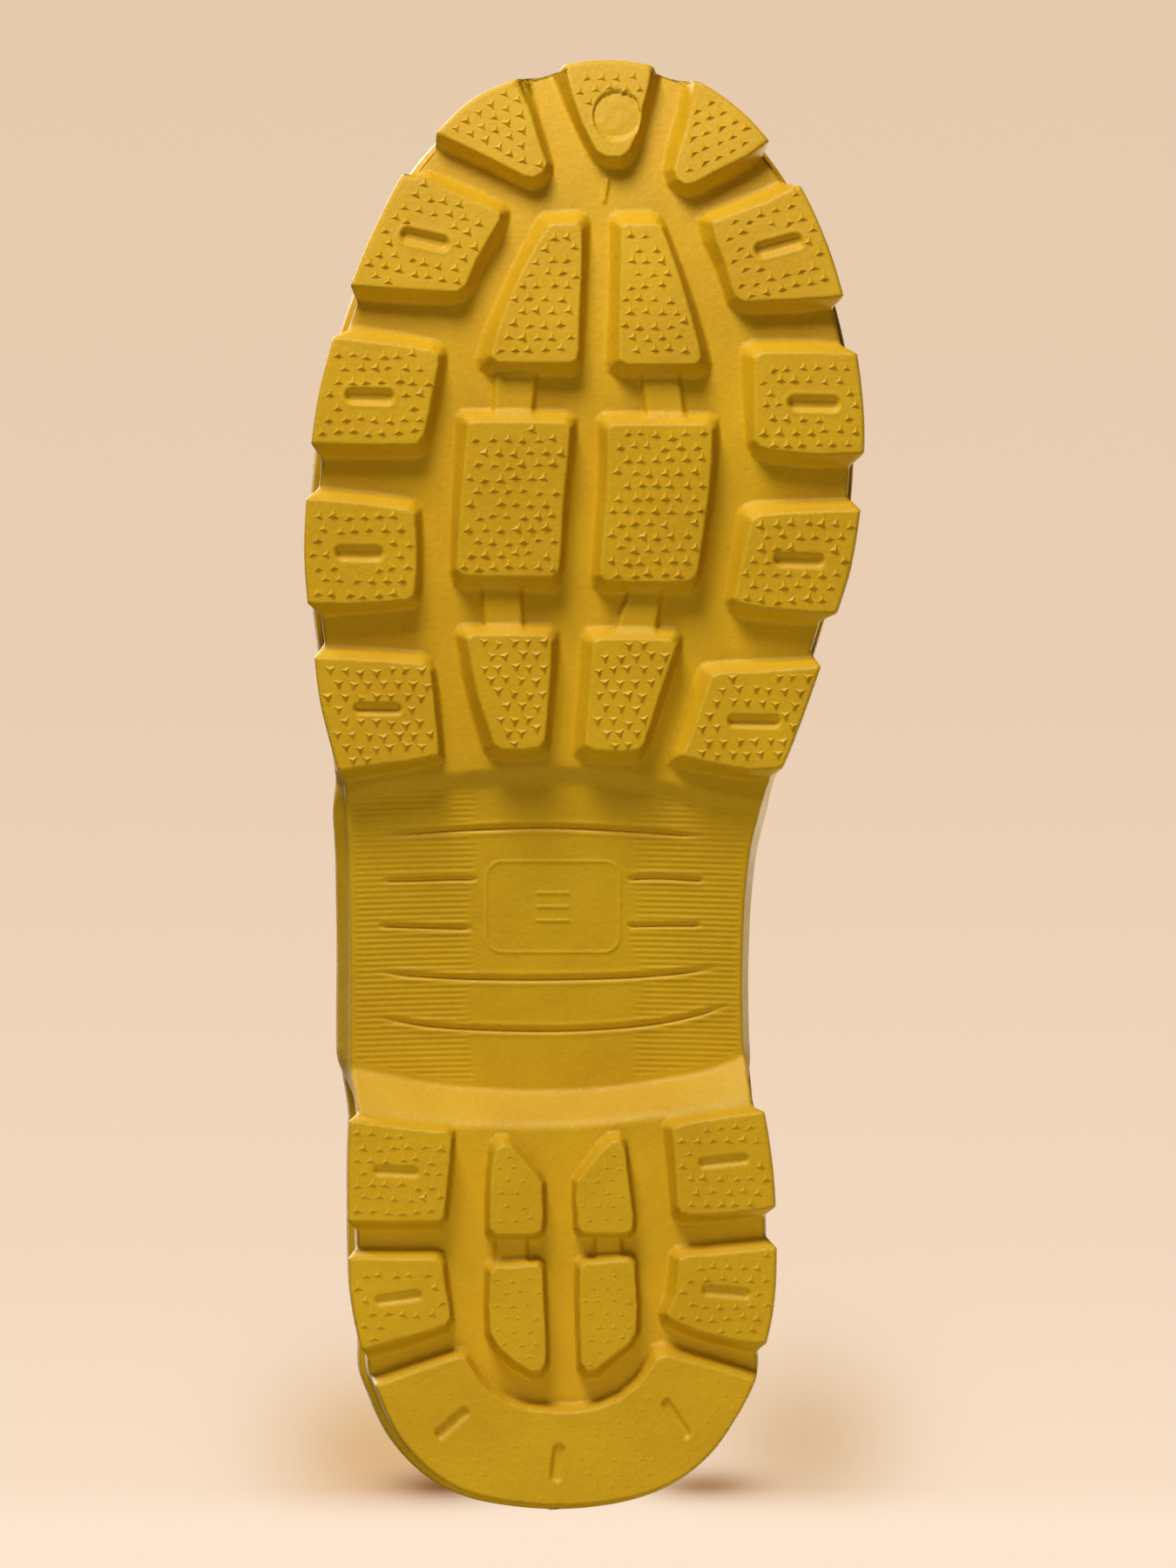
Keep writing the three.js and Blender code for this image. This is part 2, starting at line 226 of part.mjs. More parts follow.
// Closed loops of equal length, joined in order and closed at both ends. An end is a fan about
// its middle, or triangles in the plane that drops the given axis where a fan would fold over.
function cleanLoft(loops, drop = 2) {
  const n = loops[0].length, points = loops.flat(), faces = [], keep = [0, 1, 2].filter((k) => k !== drop);
  for (let k = 0; k + 1 < loops.length; k++)
    for (let i = 0; i < n; i++) {
      const a = k * n + i, b = k * n + ((i + 1) % n);
      faces.push([a, b, b + n], [a, b + n, a + n]);
    }
  for (const k of [0, loops.length - 1]) {
    const base = k * n, flat = loops[k].map((p) => [p[keep[0]], p[keep[1]]]);
    const c = [0, 1, 2].map((j) => loops[k].reduce((s, p) => s + p[j] / n, 0));
    const turn = flat.map(([x, y], i) => {
      const [u, v] = flat[(i + 1) % n];
      return (x - c[keep[0]]) * (v - c[keep[1]]) - (y - c[keep[1]]) * (u - c[keep[0]]);
    });
    const triangles = THREE.ShapeUtils.triangulateShape(flat.map((p) => new THREE.Vector2(...p)), []);
    if (triangles.length !== n - 2 || (n > 4 && (turn.every((v) => v > -1e-9) || turn.every((v) => v < 1e-9)))) {
      points.push(c);
      for (let i = 0; i < n; i++) {
        const f = [base + i, base + ((i + 1) % n), points.length - 1];
        faces.push(k === 0 ? f.reverse() : f);
      }
      continue;
    }
    const wind = area(flat) > 0;
    for (const t of triangles) {
      const [a, b, d] = t.map((v) => v + base), [pa, pb, pd] = t.map((v) => flat[v]);
      const ccw = (pb[0] - pa[0]) * (pd[1] - pa[1]) - (pb[1] - pa[1]) * (pd[0] - pa[0]) > 0;
      const f = ccw === wind ? [a, b, d] : [a, d, b];
      faces.push(k === 0 ? f.reverse() : f);
    }
  }
  return geometryOf(points, faces);
}
function ringLoft(sections) { // sections of equal length, joined in a closed ring
  const m = sections.length, n = sections[0].length, faces = [];
  for (let k = 0; k < m; k++)
    for (let i = 0; i < n; i++) {
      const a = k * n + i, b = k * n + ((i + 1) % n), c = ((k + 1) % m) * n + i, d = ((k + 1) % m) * n + ((i + 1) % n);
      faces.push([a, b, d], [a, d, c]);
    }
  return geometryOf(sections.flat(), faces);
}
function prism(poly, z0, z1) { // an upright prism with its outline in XY
  return solid(cleanLoft([poly.map(([x, y]) => [x, y, z0]), poly.map(([x, y]) => [x, y, z1])]));
}
function sidePrism(poly, x0, x1) { // a prism across the boot with its outline in YZ
  return solid(cleanLoft([poly.map(([y, z]) => [x0, y, z]), poly.map(([y, z]) => [x1, y, z])], 0));
}
function block(x0, x1, y0, y1, z0, z1) {
  const g = new THREE.BoxGeometry(x1 - x0, y1 - y0, z1 - z0);
  g.translate((x0 + x1) / 2, (y0 + y1) / 2, (z0 + z1) / 2);
  return solid(g);
}

// ---------------------------------------------------------------- outlines
const notch = (y) => y < 30 ? NOTCH_FORE * (1 - smooth(-12, 8, y)) : NOTCH_HEEL * smooth(52, 64, y) * (1 - smooth(104, 112, y));
const SIDEWALL = offsetOutline(ENVELOPE, notch);
const yEnds = (poly) => [Math.min(...poly.map((p) => p[1])), Math.max(...poly.map((p) => p[1]))];
function stationsOf(poly, count) {
  const [a, b] = yEnds(poly), list = [];
  for (let i = 0; i <= count; i++) {
    const t = i / count, e = 0.5 - 0.5 * Math.cos(Math.PI * t);
    list.push(mix(a, b, clamp(mix(t, e, 0.8), 0.0006, 0.9994)));
  }
  return list;
}
// a plate that follows the seat: outline, lower and upper face as functions of Y
function plate(poly, low, high, count = 34) {
  return solid(cleanLoft(stationsOf(poly, count).map((y) => {
    const [l, r] = spanAt(poly, y);
    return [[l, y, low(y)], [r, y, low(y)], [r, y, high(y)], [l, y, high(y)]];
  }), 1));
}
const insetSidewall = (d) => offsetOutline(SIDEWALL, () => d);

// ---------------------------------------------------------------- outsole
function makeOutsole() {
  // two-step sidewall: upright from the base of the tread, leaning out a little at the top
  const ys = stationsOf(SIDEWALL, 40);
  const body = solid(cleanLoft(ys.map((y) => {
    const [l, r] = spanAt(SIDEWALL, y), b = TREAD_DEPTH + spring(y), t = seat(y), w = Math.min(0.5, (r - l) / 8);
    return [[l + w, y, b], [r - w, y, b], [r, y, b + 1.2], [r, y, t], [l, y, t], [l, y, b + 1.2]];
  }), 1));
  // the waist: cut away under the arch, with a sloping heel breast
  const xs = [];
  for (let i = 0; i <= 14; i++) xs.push(-70 + i * 10);
  const wide = (t) => t.map(([x, y]) => [x, y]);
  const waist = solid(cleanLoft(xs.map((x) => {
    const a = lerpTable(wide(FRONT_ARC), x), b = lerpTable(wide(BREAST_TOP), x), c = lerpTable(wide(BREAST_FOOT), x);
    return [[x, a, -6], [x, c - 0.3, -6], [x, c - 0.3, TREAD_DEPTH - 0.1], [x, b, WAIST_REAR_Z],
      [x, mix(a, b, 0.5), mix(WAIST_FRONT_Z, WAIST_REAR_Z, 0.46)], [x, a + 2, WAIST_FRONT_Z]];
  }), 0));
  let made = body.subtract(waist);
  const shrunk = offsetOutline(SIDEWALL, () => 0.8);
  for (const { tread, root } of Object.values(LUGS)) {
    const up = root.map((p) => {
      if (inside(shrunk, p)) return p;
      const q = nearest(shrunk, p);
      return [mix(p[0], q[0], 0.97), mix(p[1], q[1], 0.97)];
    });
    // each tread face is one plane that touches the toe spring's curve at its middle
    const ys = tread.map((p) => p[1]), yc = (Math.min(...ys) + Math.max(...ys)) / 2, slope = (spring(yc + 0.5) - spring(yc - 0.5));
    const raise = Math.max(0, -Math.min(...ys.map((y) => spring(yc) + slope * (y - yc))));
    made = made.add(solid(cleanLoft([
      tread.map(([x, y]) => [x, y, spring(yc) + slope * (y - yc) + raise]),
      root.map(([x, y]) => [x, y, spring(y) + TREAD_DEPTH]),
      up.map(([x, y]) => [x, y, Math.min(spring(y) + BUTTRESS_TOP, seat(y) - 0.5)]),
    ])));
  }
  for (const bar of BARS)
    made = made.add(solid(cleanLoft([
      bar.map(([x, y]) => [x, y, spring(y) + TREAD_DEPTH - BAR_PROUD]),
      bar.map(([x, y]) => [x, y, spring(y) + TREAD_DEPTH + 1]),
    ])));
  for (const [cx, cy, l, w, deg] of SLOTS) {
    const a = (deg * Math.PI) / 180, u = [Math.cos(a) * l / 2, Math.sin(a) * l / 2], v = [-Math.sin(a) * w / 2, Math.cos(a) * w / 2];
    const q = [[-1, -1], [1, -1], [1, 1], [-1, 1]].map(([s, t]) => [cx + s * u[0] + t * v[0], cy + s * u[1] + t * v[1]]);
    made = made.subtract(solid(cleanLoft([
      q.map(([x, y]) => [x, y, spring(y) - 3]), q.map(([x, y]) => [x, y, spring(y) + SLOT_DEPTH]),
    ])));
  }
  made = made.subtract(heelPlug(GAP)).subtract(shankBar(GAP));
  return made;
}
// heel cavity and the plug that fills it; grow > 0 gives the cavity
function heelPlug(grow) {
  const cx = -4.4, outline = [];
  for (let i = 0; i < 20; i++) {
    const a = (i / 20) * 2 * Math.PI, c = Math.cos(a), s = Math.sin(a);
    outline.push([cx + Math.sign(c) * Math.abs(c) ** 0.75 * (27 + grow), 94 + Math.sign(s) * Math.abs(s) ** 0.75 * (27 + grow)]);
  }
  return prism(outline, 9.5 - grow, grow ? 60 : FORE_TOP + HEEL_LIFT - 0.2);
}
function shankBar(grow) {
  const a = -34 - grow, b = 60 + grow, loops = [];
  for (let i = 0; i <= 12; i++) {
    const y = mix(a, b, i / 12), z = seat(y), cx = mix(-1, -5, i / 12);
    loops.push([[cx - 8 - grow, y, z - 2.1 - grow], [cx + 8 + grow, y, z - 2.1 - grow],
      [cx + 8 + grow, y, grow ? z + 3 : z - 0.3], [cx - 8 - grow, y, grow ? z + 3 : z - 0.3]]);
  }
  return solid(cleanLoft(loops, 1));
}

// ---------------------------------------------------------------- body of the upper
const FEATHER = insetSidewall(UPPER_INSET);
const [FEATHER_TOE, FEATHER_HEEL] = yEnds(FEATHER);
const ridge = curveTable([[-132.5, 33], [-130.5, 42], [-127, 49.5], [-122, 56], [-114, 62.5], [-103, 68], [-88, 73], [-70, 79], [-52, 88], [-34, 99], [-15, 110], [10, 118], [60, 108], [100, 88], [118, 76], [133, 62]]);
function footField(x, y, z) {
  const yy = clamp(y, FEATHER_TOE + 0.3, FEATHER_HEEL - 0.3);
  const [l, r] = spanAt(FEATHER, yy);
  const hw = Math.max(1, (r - l) / 2), cx = (l + r) / 2 + 0.03 * Math.max(0, z - 30) * smooth(-20, -110, y) ;
  const b = seat(yy), h = ridge(yy) - b;
  const u = Math.abs(x - cx) / hw, v = Math.max(0, (z - b) / h);
  const g = (u ** 2.5 + v ** 2.1) ** (1 / 2.3) - 1;
  return g * Math.min(hw, h) + Math.hypot(0, y - yy) * 1.2;
}
const shaftFront = curveTable([[20, 18], [60, 12], [90, 4], [110, 1], [130, -0.5], [165, -2.5], [190, -3]]);
const shaftBack = curveTable([[10, 112], [30, 116], [50, 122], [70, 125.5], [95, 125], [120, 124.5], [145, 125.5], [165, 127], [190, 128]]);
const shaftHalf = curveTable([[10, 22], [35, 27], [60, 31], [85, 33.5], [115, 35.2], [145, 36.2], [165, 36.8], [190, 37]]);
function shaftField(x, y, z) {
  const f = shaftFront(z), b = shaftBack(z), a = (b - f) / 2, c = (b + f) / 2, w = shaftHalf(z);
  const cx = mix(-4.6, 0.5, smooth(30, 150, z));
  const u = Math.abs(x - cx) / w, v = Math.abs(y - c) / a;
  return ((u ** 2.25 + v ** 2.25) ** (1 / 2.25) - 1) * w;
}
function field(x, y, z) {
  const a = footField(x, y, z), b = shaftField(x, y, z), k = 15;
  const h = clamp(0.5 + (0.5 * (b - a)) / k, 0, 1);
  return mix(b, a, h) - k * h * (1 - h);
}
function distance(x, y, z) {
  const e = 0.6, f = field(x, y, z);
  const gx = (field(x + e, y, z) - field(x - e, y, z)) / (2 * e);
  const gy = (field(x, y + e, z) - field(x, y - e, z)) / (2 * e);
  const gz = (field(x, y, z + e) - field(x, y, z - e)) / (2 * e);
  return f / Math.max(0.35, Math.hypot(gx, gy, gz));
}
const AROUND = 28;
const FAN_ANGLES = [0, 4.5, 9, 13.5, 18, 22.5, 27, 31.5, 36, 41, 46, 51.5, 57, 63, 69, 75, 81, 86.5, 91, 95, 98.5, 101.3, 103.3];
// the boot's whole outer volume moved out by d, closed below the seat and above the collar
const shapes = new Map();
function volume(d, angles = FAN_ANGLES) {
  const key = d.toFixed(3) + angles.length;
  if (shapes.has(key)) return shapes.get(key);
  const F = (x, y, z) => Math.max(distance(x, y, z) - d, seat(y) - 14 - z);
  const plane = (deg) => {
    const a = (deg * Math.PI) / 180, dy = Math.cos(a), dz = -Math.sin(a);
    return (x, s) => [x, FAN[0] + s * dy, FAN[1] + s * dz];
  };
  const middle = (deg) => mix(-2.5, 4, smooth(30, 104, deg));
  // the first and last point of the middle line that lie inside
  const extent = (deg) => {
    const at = plane(deg);
    let s0 = null, s1 = null;
    for (let s = 4; s < 270; s += 1) if (F(...at(middle(deg), s)) < 0) { if (s0 === null) s0 = s; s1 = s; }
    return s0 === null ? [0, 0] : [s0, s1];
  };
  // the plane that just touches the toe
  let touch = 92, past = 110;
  for (let k = 0; k < 14; k++) {
    const m = (touch + past) / 2, [s0, s1] = extent(m);
    if (s1 - s0 > 4) touch = m; else past = m;
  }
  const loops = [];
  for (const deg of [...angles.filter((v) => v < touch - 1.4), touch - 0.7, touch - 0.08]) {
    const at = plane(deg), cx = middle(deg), [s0, s1] = extent(deg);
    let centreS, hs;
    centreS = (s0 + s1) / 2; hs = (s1 - s0) / 2;
    const loop = [];
    for (let i = 0; i < AROUND; i++) {
      const t = (i / AROUND) * 2 * Math.PI, dx = Math.sin(t) * 42, ds = -Math.cos(t) * hs * 1.02;
      const l = Math.hypot(dx, ds);
      let lo = 0, hi = 160;
      // step out to the first point outside, then halve
      for (let r = 2; r < 160; r += 3)
        if (F(...at(cx + (dx / l) * r, centreS + (ds / l) * r)) > 0) { hi = r; lo = Math.max(0, r - 3); break; }
      for (let k = 0; k < 16; k++) {
        const m = (lo + hi) / 2;
        if (F(...at(cx + (dx / l) * m, centreS + (ds / l) * m)) > 0) hi = m; else lo = m;
      }
      loop.push(at(cx + (dx / l) * lo, centreS + (ds / l) * lo));
    }
    loops.push(loop);
  }
  loops.unshift(loops[0].map(([x, y, z]) => [x, y, z + 12]));
  const n = AROUND, points = loops.flat(), faces = [];
  for (let k = 0; k + 1 < loops.length; k++)
    for (let i = 0; i < n; i++) {
      const a = k * n + i, b = k * n + ((i + 1) % n);
      faces.push([a, b, b + n], [a, b + n, a + n]);
    }
  for (const [k, flip] of [[0, true], [loops.length - 1, false]]) {
    const c = [0, 0, 0];
    loops[k].forEach((p) => p.forEach((v, j) => (c[j] += v / n)));
    points.push(c);
    for (let i = 0; i < n; i++) {
      const a = k * n + i, b = k * n + ((i + 1) % n), m = points.length - 1;
      faces.push(flip ? [m, b, a] : [m, a, b]);
    }
  }
  const made = solid(geometryOf(points, faces));
  shapes.set(key, made);
  return made;
}
// everything under a surface that lies "rise" above the seat
function under(rise) {
  const loops = [];
  for (let y = -160; y <= 160; y += 8) {
    const z = seat(clamp(y, -140, 140)) + rise;
    loops.push([[-90, y, -60], [90, y, -60], [90, y, z], [-90, y, z]]);
  }
  return solid(cleanLoft(loops, 1));
}
const floor0 = under(GAP);
const above = (z) => block(-120, 120, -200, 200, z, 400);
function shell(outer, inner, top = TOP_LINE) {
  return volume(outer).subtract(volume(inner)).subtract(floor0).subtract(above(top));
}
const gussetOutline = (g) => [[42 - g, TOP_LINE + 9], [46 - g, 138], [51.5 - g, 112], [56 - g * 0.8, 98 - g], [61, 91 - g], [66, 88.5 - g], [71, 91 - g], [76 + g * 0.8, 98 - g], [80 + g, 112], [84.5 + g, 138], [88 + g, TOP_LINE + 9]];
function mainBody(s) { // the largest connected body of a solid, for cuts that leave slivers
  return s.decompose().sort((a, b) => b.volume() - a.volume())[0];
}

const pieces = [];
function add(name, made, colour, roughness, metalness = 0) {
  pieces.push([name, made, colour, roughness, metalness]);
}
const YELLOW = 0xd9a21b, DARK_YELLOW = 0xb98a17;

add("outsole", mainBody(makeOutsole()), YELLOW, 0.55);
add("heel_filler", heelPlug(0), 0x6f6a60, 0.9);
add("shank", shankBar(0), 0x9a9da0, 0.35, 1);
add("insole_board", plate(insetSidewall(BOARD_INSET), (y) => seat(y) + GAP, (y) => seat(y) + GAP + BOARD, 26).intersect(volume(-LINING_AT - LINING_WALL - 0.4)), 0x9b7a52, 0.9);
const bedRoom = volume(-LINING_AT - LINING_WALL - 1.6);
const bedLow = (y) => seat(y) + 2 * GAP + BOARD;
add("footbed_foam", plate(insetSidewall(FOOTBED_INSET), bedLow, (y) => bedLow(y) + FOAM, 26).intersect(bedRoom), 0x3c3f42, 0.9);
add("footbed_cover", plate(insetSidewall(FOOTBED_INSET), (y) => bedLow(y) + FOAM + GAP, (y) => bedLow(y) + FOAM + GAP + COVER, 26).intersect(bedRoom), 0x5b6066, 0.95);

// foxing: the ribbed rand around the foot of the upper
const rand = ringLoft(SIDEWALL.map(([x, y], i) => {
  const n = SIDEWALL.length, [ax, ay] = SIDEWALL[(i + n - 1) % n], [bx, by] = SIDEWALL[(i + 1) % n];
  const l = Math.hypot(bx - ax, by - ay), nx = (by - ay) / l, ny = -(bx - ax) / l;
  const p = (d, h) => [x + nx * d, y + ny * d, seat(y + ny * d) + GAP + h];
  return [p(FOXING_OUT - 0.5, 0), p(FOXING_OUT, 1.2), p(FOXING_OUT, FOXING_HEIGHT - 2), p(-0.6, FOXING_HEIGHT), p(-8, FOXING_HEIGHT), p(-8, 0)];
}));
add("foxing_band", mainBody(solid(rand).subtract(volume(0.35))), YELLOW, 0.55);

const leftGusset = sidePrism(gussetOutline(0), -120, -3), rightGusset = sidePrism(gussetOutline(0), -3, 120);
add("upper_shell", mainBody(shell(0, -UPPER_WALL).subtract(leftGusset).subtract(rightGusset)), YELLOW, 0.5);
for (const [name, x0, x1] of [["gusset_lateral", -120, -3], ["gusset_medial", -3, 120]])
  add(name, mainBody(shell(-0.3, -2.1).intersect(sidePrism(gussetOutline(-GAP), x0, x1))), DARK_YELLOW, 0.9);
add("lining", mainBody(shell(-LINING_AT, -LINING_AT - LINING_WALL)), 0xcfc7b6, 0.95);

const overFoxing = under(FOXING_HEIGHT + 2 * GAP);
const toeRegion = sidePrism([[-160, -20], [-88, -20], [-93, 40], [-101, 62], [-104, 90], [-160, 90]], -120, 120);
add("toe_cap", mainBody(volume(1.9).subtract(volume(0.3)).intersect(toeRegion).subtract(overFoxing)), YELLOW, 0.5);
const puffRegion = sidePrism([[-160, -20], [-84, -20], [-88, 40], [-92, 90], [-160, 90]], -120, 120);
add("toe_puff", mainBody(volume(-2.7).subtract(volume(-2.7 - PUFF_WALL)).subtract(volume(-LINING_AT + 0.12)).subtract(volume(-LINING_AT)).intersect(puffRegion).subtract(floor0)), 0xe4e0d4, 0.9);
const counterRegion = sidePrism([[90, -20], [160, -20], [160, 76], [124, 76], [112, 70], [100, 54], [93, 40]], -120, 120);
const ledge = volume(3.4).intersect(block(-26, 17, 116, 136.1, 44, 51));
add("heel_counter_cover", mainBody(volume(1.9).intersect(counterRegion).add(ledge).subtract(volume(0.3)).subtract(overFoxing)), YELLOW, 0.5);
const stiffRegion = sidePrism([[84, -20], [160, -20], [160, 70], [118, 70], [104, 62], [92, 48], [86, 36]], -120, 120);
add("heel_stiffener", mainBody(volume(-2.7).subtract(volume(-2.7 - PUFF_WALL)).subtract(volume(-LINING_AT + 0.12)).subtract(volume(-LINING_AT)).intersect(stiffRegion).subtract(floor0)), 0xe4e0d4, 0.9);
add("backstay", mainBody(volume(1.7).subtract(volume(0.3)).intersect(block(-13, 10, 100, 160, 76 + GAP, TOP_LINE))), YELLOW, 0.5);
add("collar_padding", mainBody(volume(-5.8).subtract(volume(-9.6)).subtract(block(-120, 120, -200, 200, -80, 128)).subtract(above(TOP_LINE))), 0x6a6f73, 0.95);
add("collar_binding", mainBody(volume(1.3).subtract(volume(-7.2)).subtract(block(-120, 120, -200, 200, -80, TOP_LINE + GAP)).subtract(above(COLLAR_TOP))), YELLOW, 0.5);

// pull loops: a sewn-down anchor under the collar outside the shaft and a free loop of webbing above it
function loopBand(yc, zp) { // a teardrop band whose round foot sits on the fold line
  const r = 8.3, foot = LOOP_FOOT, zc = COLLAR_TOP + 30.6 - r, lean = Math.asin((r - foot) / (zc - zp));
  const arc = (y, z, rad, from, to, steps) => {
    const list = [];
    for (let i = 0; i <= steps; i++) {
      const a = from + ((to - from) * i) / steps;
      list.push([y + Math.cos(a) * rad, z + Math.sin(a) * rad]);
    }
    return list;
  };
  const outer = [...arc(yc, zp, foot, Math.PI + lean, 2 * Math.PI - lean, 8), ...arc(yc, zc, r, -lean, Math.PI + lean, 14)];
  const inner = [[yc, zp + (LOOP_BAND - foot) / Math.sin(lean) + 0.2], ...arc(yc, zc, r - LOOP_BAND, -lean, Math.PI + lean, 14)];
  return (x0, x1) => sidePrism(outer, x0, x1).subtract(sidePrism(inner, x0 - 5, x1 + 5));
}
const cxLoop = 0.5;
const frontY = shaftFront(COLLAR_TOP) + 3.4, rearY = shaftBack(COLLAR_TOP) - 3.4;
const loopBase = COLLAR_TOP + 0.4 + LOOP_FOOT;
add("front_loop", loopBand(frontY, loopBase)(cxLoop - LOOP_WIDTH / 2, cxLoop + LOOP_WIDTH / 2), DARK_YELLOW, 0.9);
add("rear_loop", loopBand(rearY, loopBase)(cxLoop - LOOP_WIDTH / 2, cxLoop + LOOP_WIDTH / 2), DARK_YELLOW, 0.9);
add("front_loop_anchor", mainBody(volume(3.2).subtract(volume(1.7)).intersect(block(cxLoop - 11, cxLoop + 11, -30, 40, 136, COLLAR_TOP - 1))), DARK_YELLOW, 0.9);
add("rear_loop_anchor", mainBody(volume(3.6).subtract(volume(2.1)).intersect(block(cxLoop - 11, cxLoop + 11, 90, 160, 136, COLLAR_TOP - 1))), DARK_YELLOW, 0.9);

// ---------------------------------------------------------------- the boot
const boot = new THREE.Group();
boot.name = "deck_boot";
for (const [name, made, colour, roughness, metalness] of pieces) {
  const { vertProperties, triVerts } = made.getMesh();
  const g = new THREE.BufferGeometry();
  g.setAttribute("position", new THREE.Float32BufferAttribute(vertProperties, 3));
  g.setIndex(Array.from(triVerts));
  g.computeVertexNormals();
  const mesh = new THREE.Mesh(g, new THREE.MeshStandardMaterial({ color: colour, roughness, metalness }));
  mesh.name = name;
  boot.add(mesh);
}
// the group's own origin is the middle of the boot's footprint, on the ground
const box = new THREE.Box3().setFromObject(boot);
boot.position.set(-(box.min.x + box.max.x) / 2, -(box.min.y + box.max.y) / 2, -box.min.z);
export default boot;
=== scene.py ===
# A right deck boot in moulded yellow rubber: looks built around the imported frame.
# Everything is worked out in millimetres in the boot's own frame (toe along -Y, heel +Y,
# inner side +X, ground at Z = 0) and written to Blender in metres.
import bpy, bmesh, math
import numpy as np
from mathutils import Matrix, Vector


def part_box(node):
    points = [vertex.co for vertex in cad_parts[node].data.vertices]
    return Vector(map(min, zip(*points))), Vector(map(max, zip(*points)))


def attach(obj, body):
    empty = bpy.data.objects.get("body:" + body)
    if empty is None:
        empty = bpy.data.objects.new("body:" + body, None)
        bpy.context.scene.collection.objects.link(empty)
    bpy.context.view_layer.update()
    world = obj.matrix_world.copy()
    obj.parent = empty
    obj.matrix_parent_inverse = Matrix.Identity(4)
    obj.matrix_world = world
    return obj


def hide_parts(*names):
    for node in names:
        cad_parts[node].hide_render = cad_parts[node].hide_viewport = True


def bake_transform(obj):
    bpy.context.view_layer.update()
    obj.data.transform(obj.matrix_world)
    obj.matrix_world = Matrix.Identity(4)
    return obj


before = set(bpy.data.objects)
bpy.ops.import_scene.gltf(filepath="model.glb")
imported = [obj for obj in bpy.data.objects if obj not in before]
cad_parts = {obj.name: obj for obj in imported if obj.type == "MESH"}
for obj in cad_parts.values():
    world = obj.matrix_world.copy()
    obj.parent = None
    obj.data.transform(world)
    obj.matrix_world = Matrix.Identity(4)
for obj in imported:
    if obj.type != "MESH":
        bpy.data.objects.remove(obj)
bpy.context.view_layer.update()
rng = np.random.default_rng(7)

# ------------------------------------------------------------------ the design's numbers
ENVELOPE = [[5.0,-136.2],[13.8,-135.0],[21.9,-132.1],[29.1,-127.2],[35.0,-120.9],[40.9,-112.2],[45.5,-102.1],[48.7,-91.8],[51.2,-80.8],[52.4,-70.1],[52.5,-61.9],[51.9,-52.1],[50.1,-40.6],[47.4,-31.6],[44.3,-21.6],[40.6,-11.1],[37.3,-2.9],[34.0,3.6],[31.7,11.8],[30.6,21.6],[30.2,31.5],[30.2,41.3],[30.7,51.9],[32.4,58.5],[33.8,62.6],[35.1,70.8],[35.8,79.0],[36.0,90.5],[35.5,98.6],[34.0,106.0],[31.7,113.4],[28.3,119.9],[23.5,126.5],[16.8,131.7],[7.8,134.9],[-3.7,136.2],[-15.2,135.3],[-23.4,133.1],[-29.9,129.0],[-35.6,122.4],[-39.4,114.2],[-42.4,106.0],[-44.2,97.0],[-44.7,88.8],[-44.8,80.6],[-44.8,70.8],[-44.5,63.4],[-44.0,54.4],[-44.0,41.3],[-44.0,31.5],[-44.2,21.6],[-44.5,11.8],[-45.3,3.6],[-46.9,-2.9],[-48.7,-9.5],[-50.2,-16.1],[-51.2,-24.3],[-52.4,-34.1],[-53.0,-42.3],[-52.8,-50.5],[-51.9,-61.9],[-50.4,-72.6],[-47.9,-82.4],[-44.3,-93.1],[-39.7,-104.1],[-34.0,-114.9],[-27.6,-122.6],[-20.9,-128.8],[-12.4,-132.7],[-3.7,-135.3]]
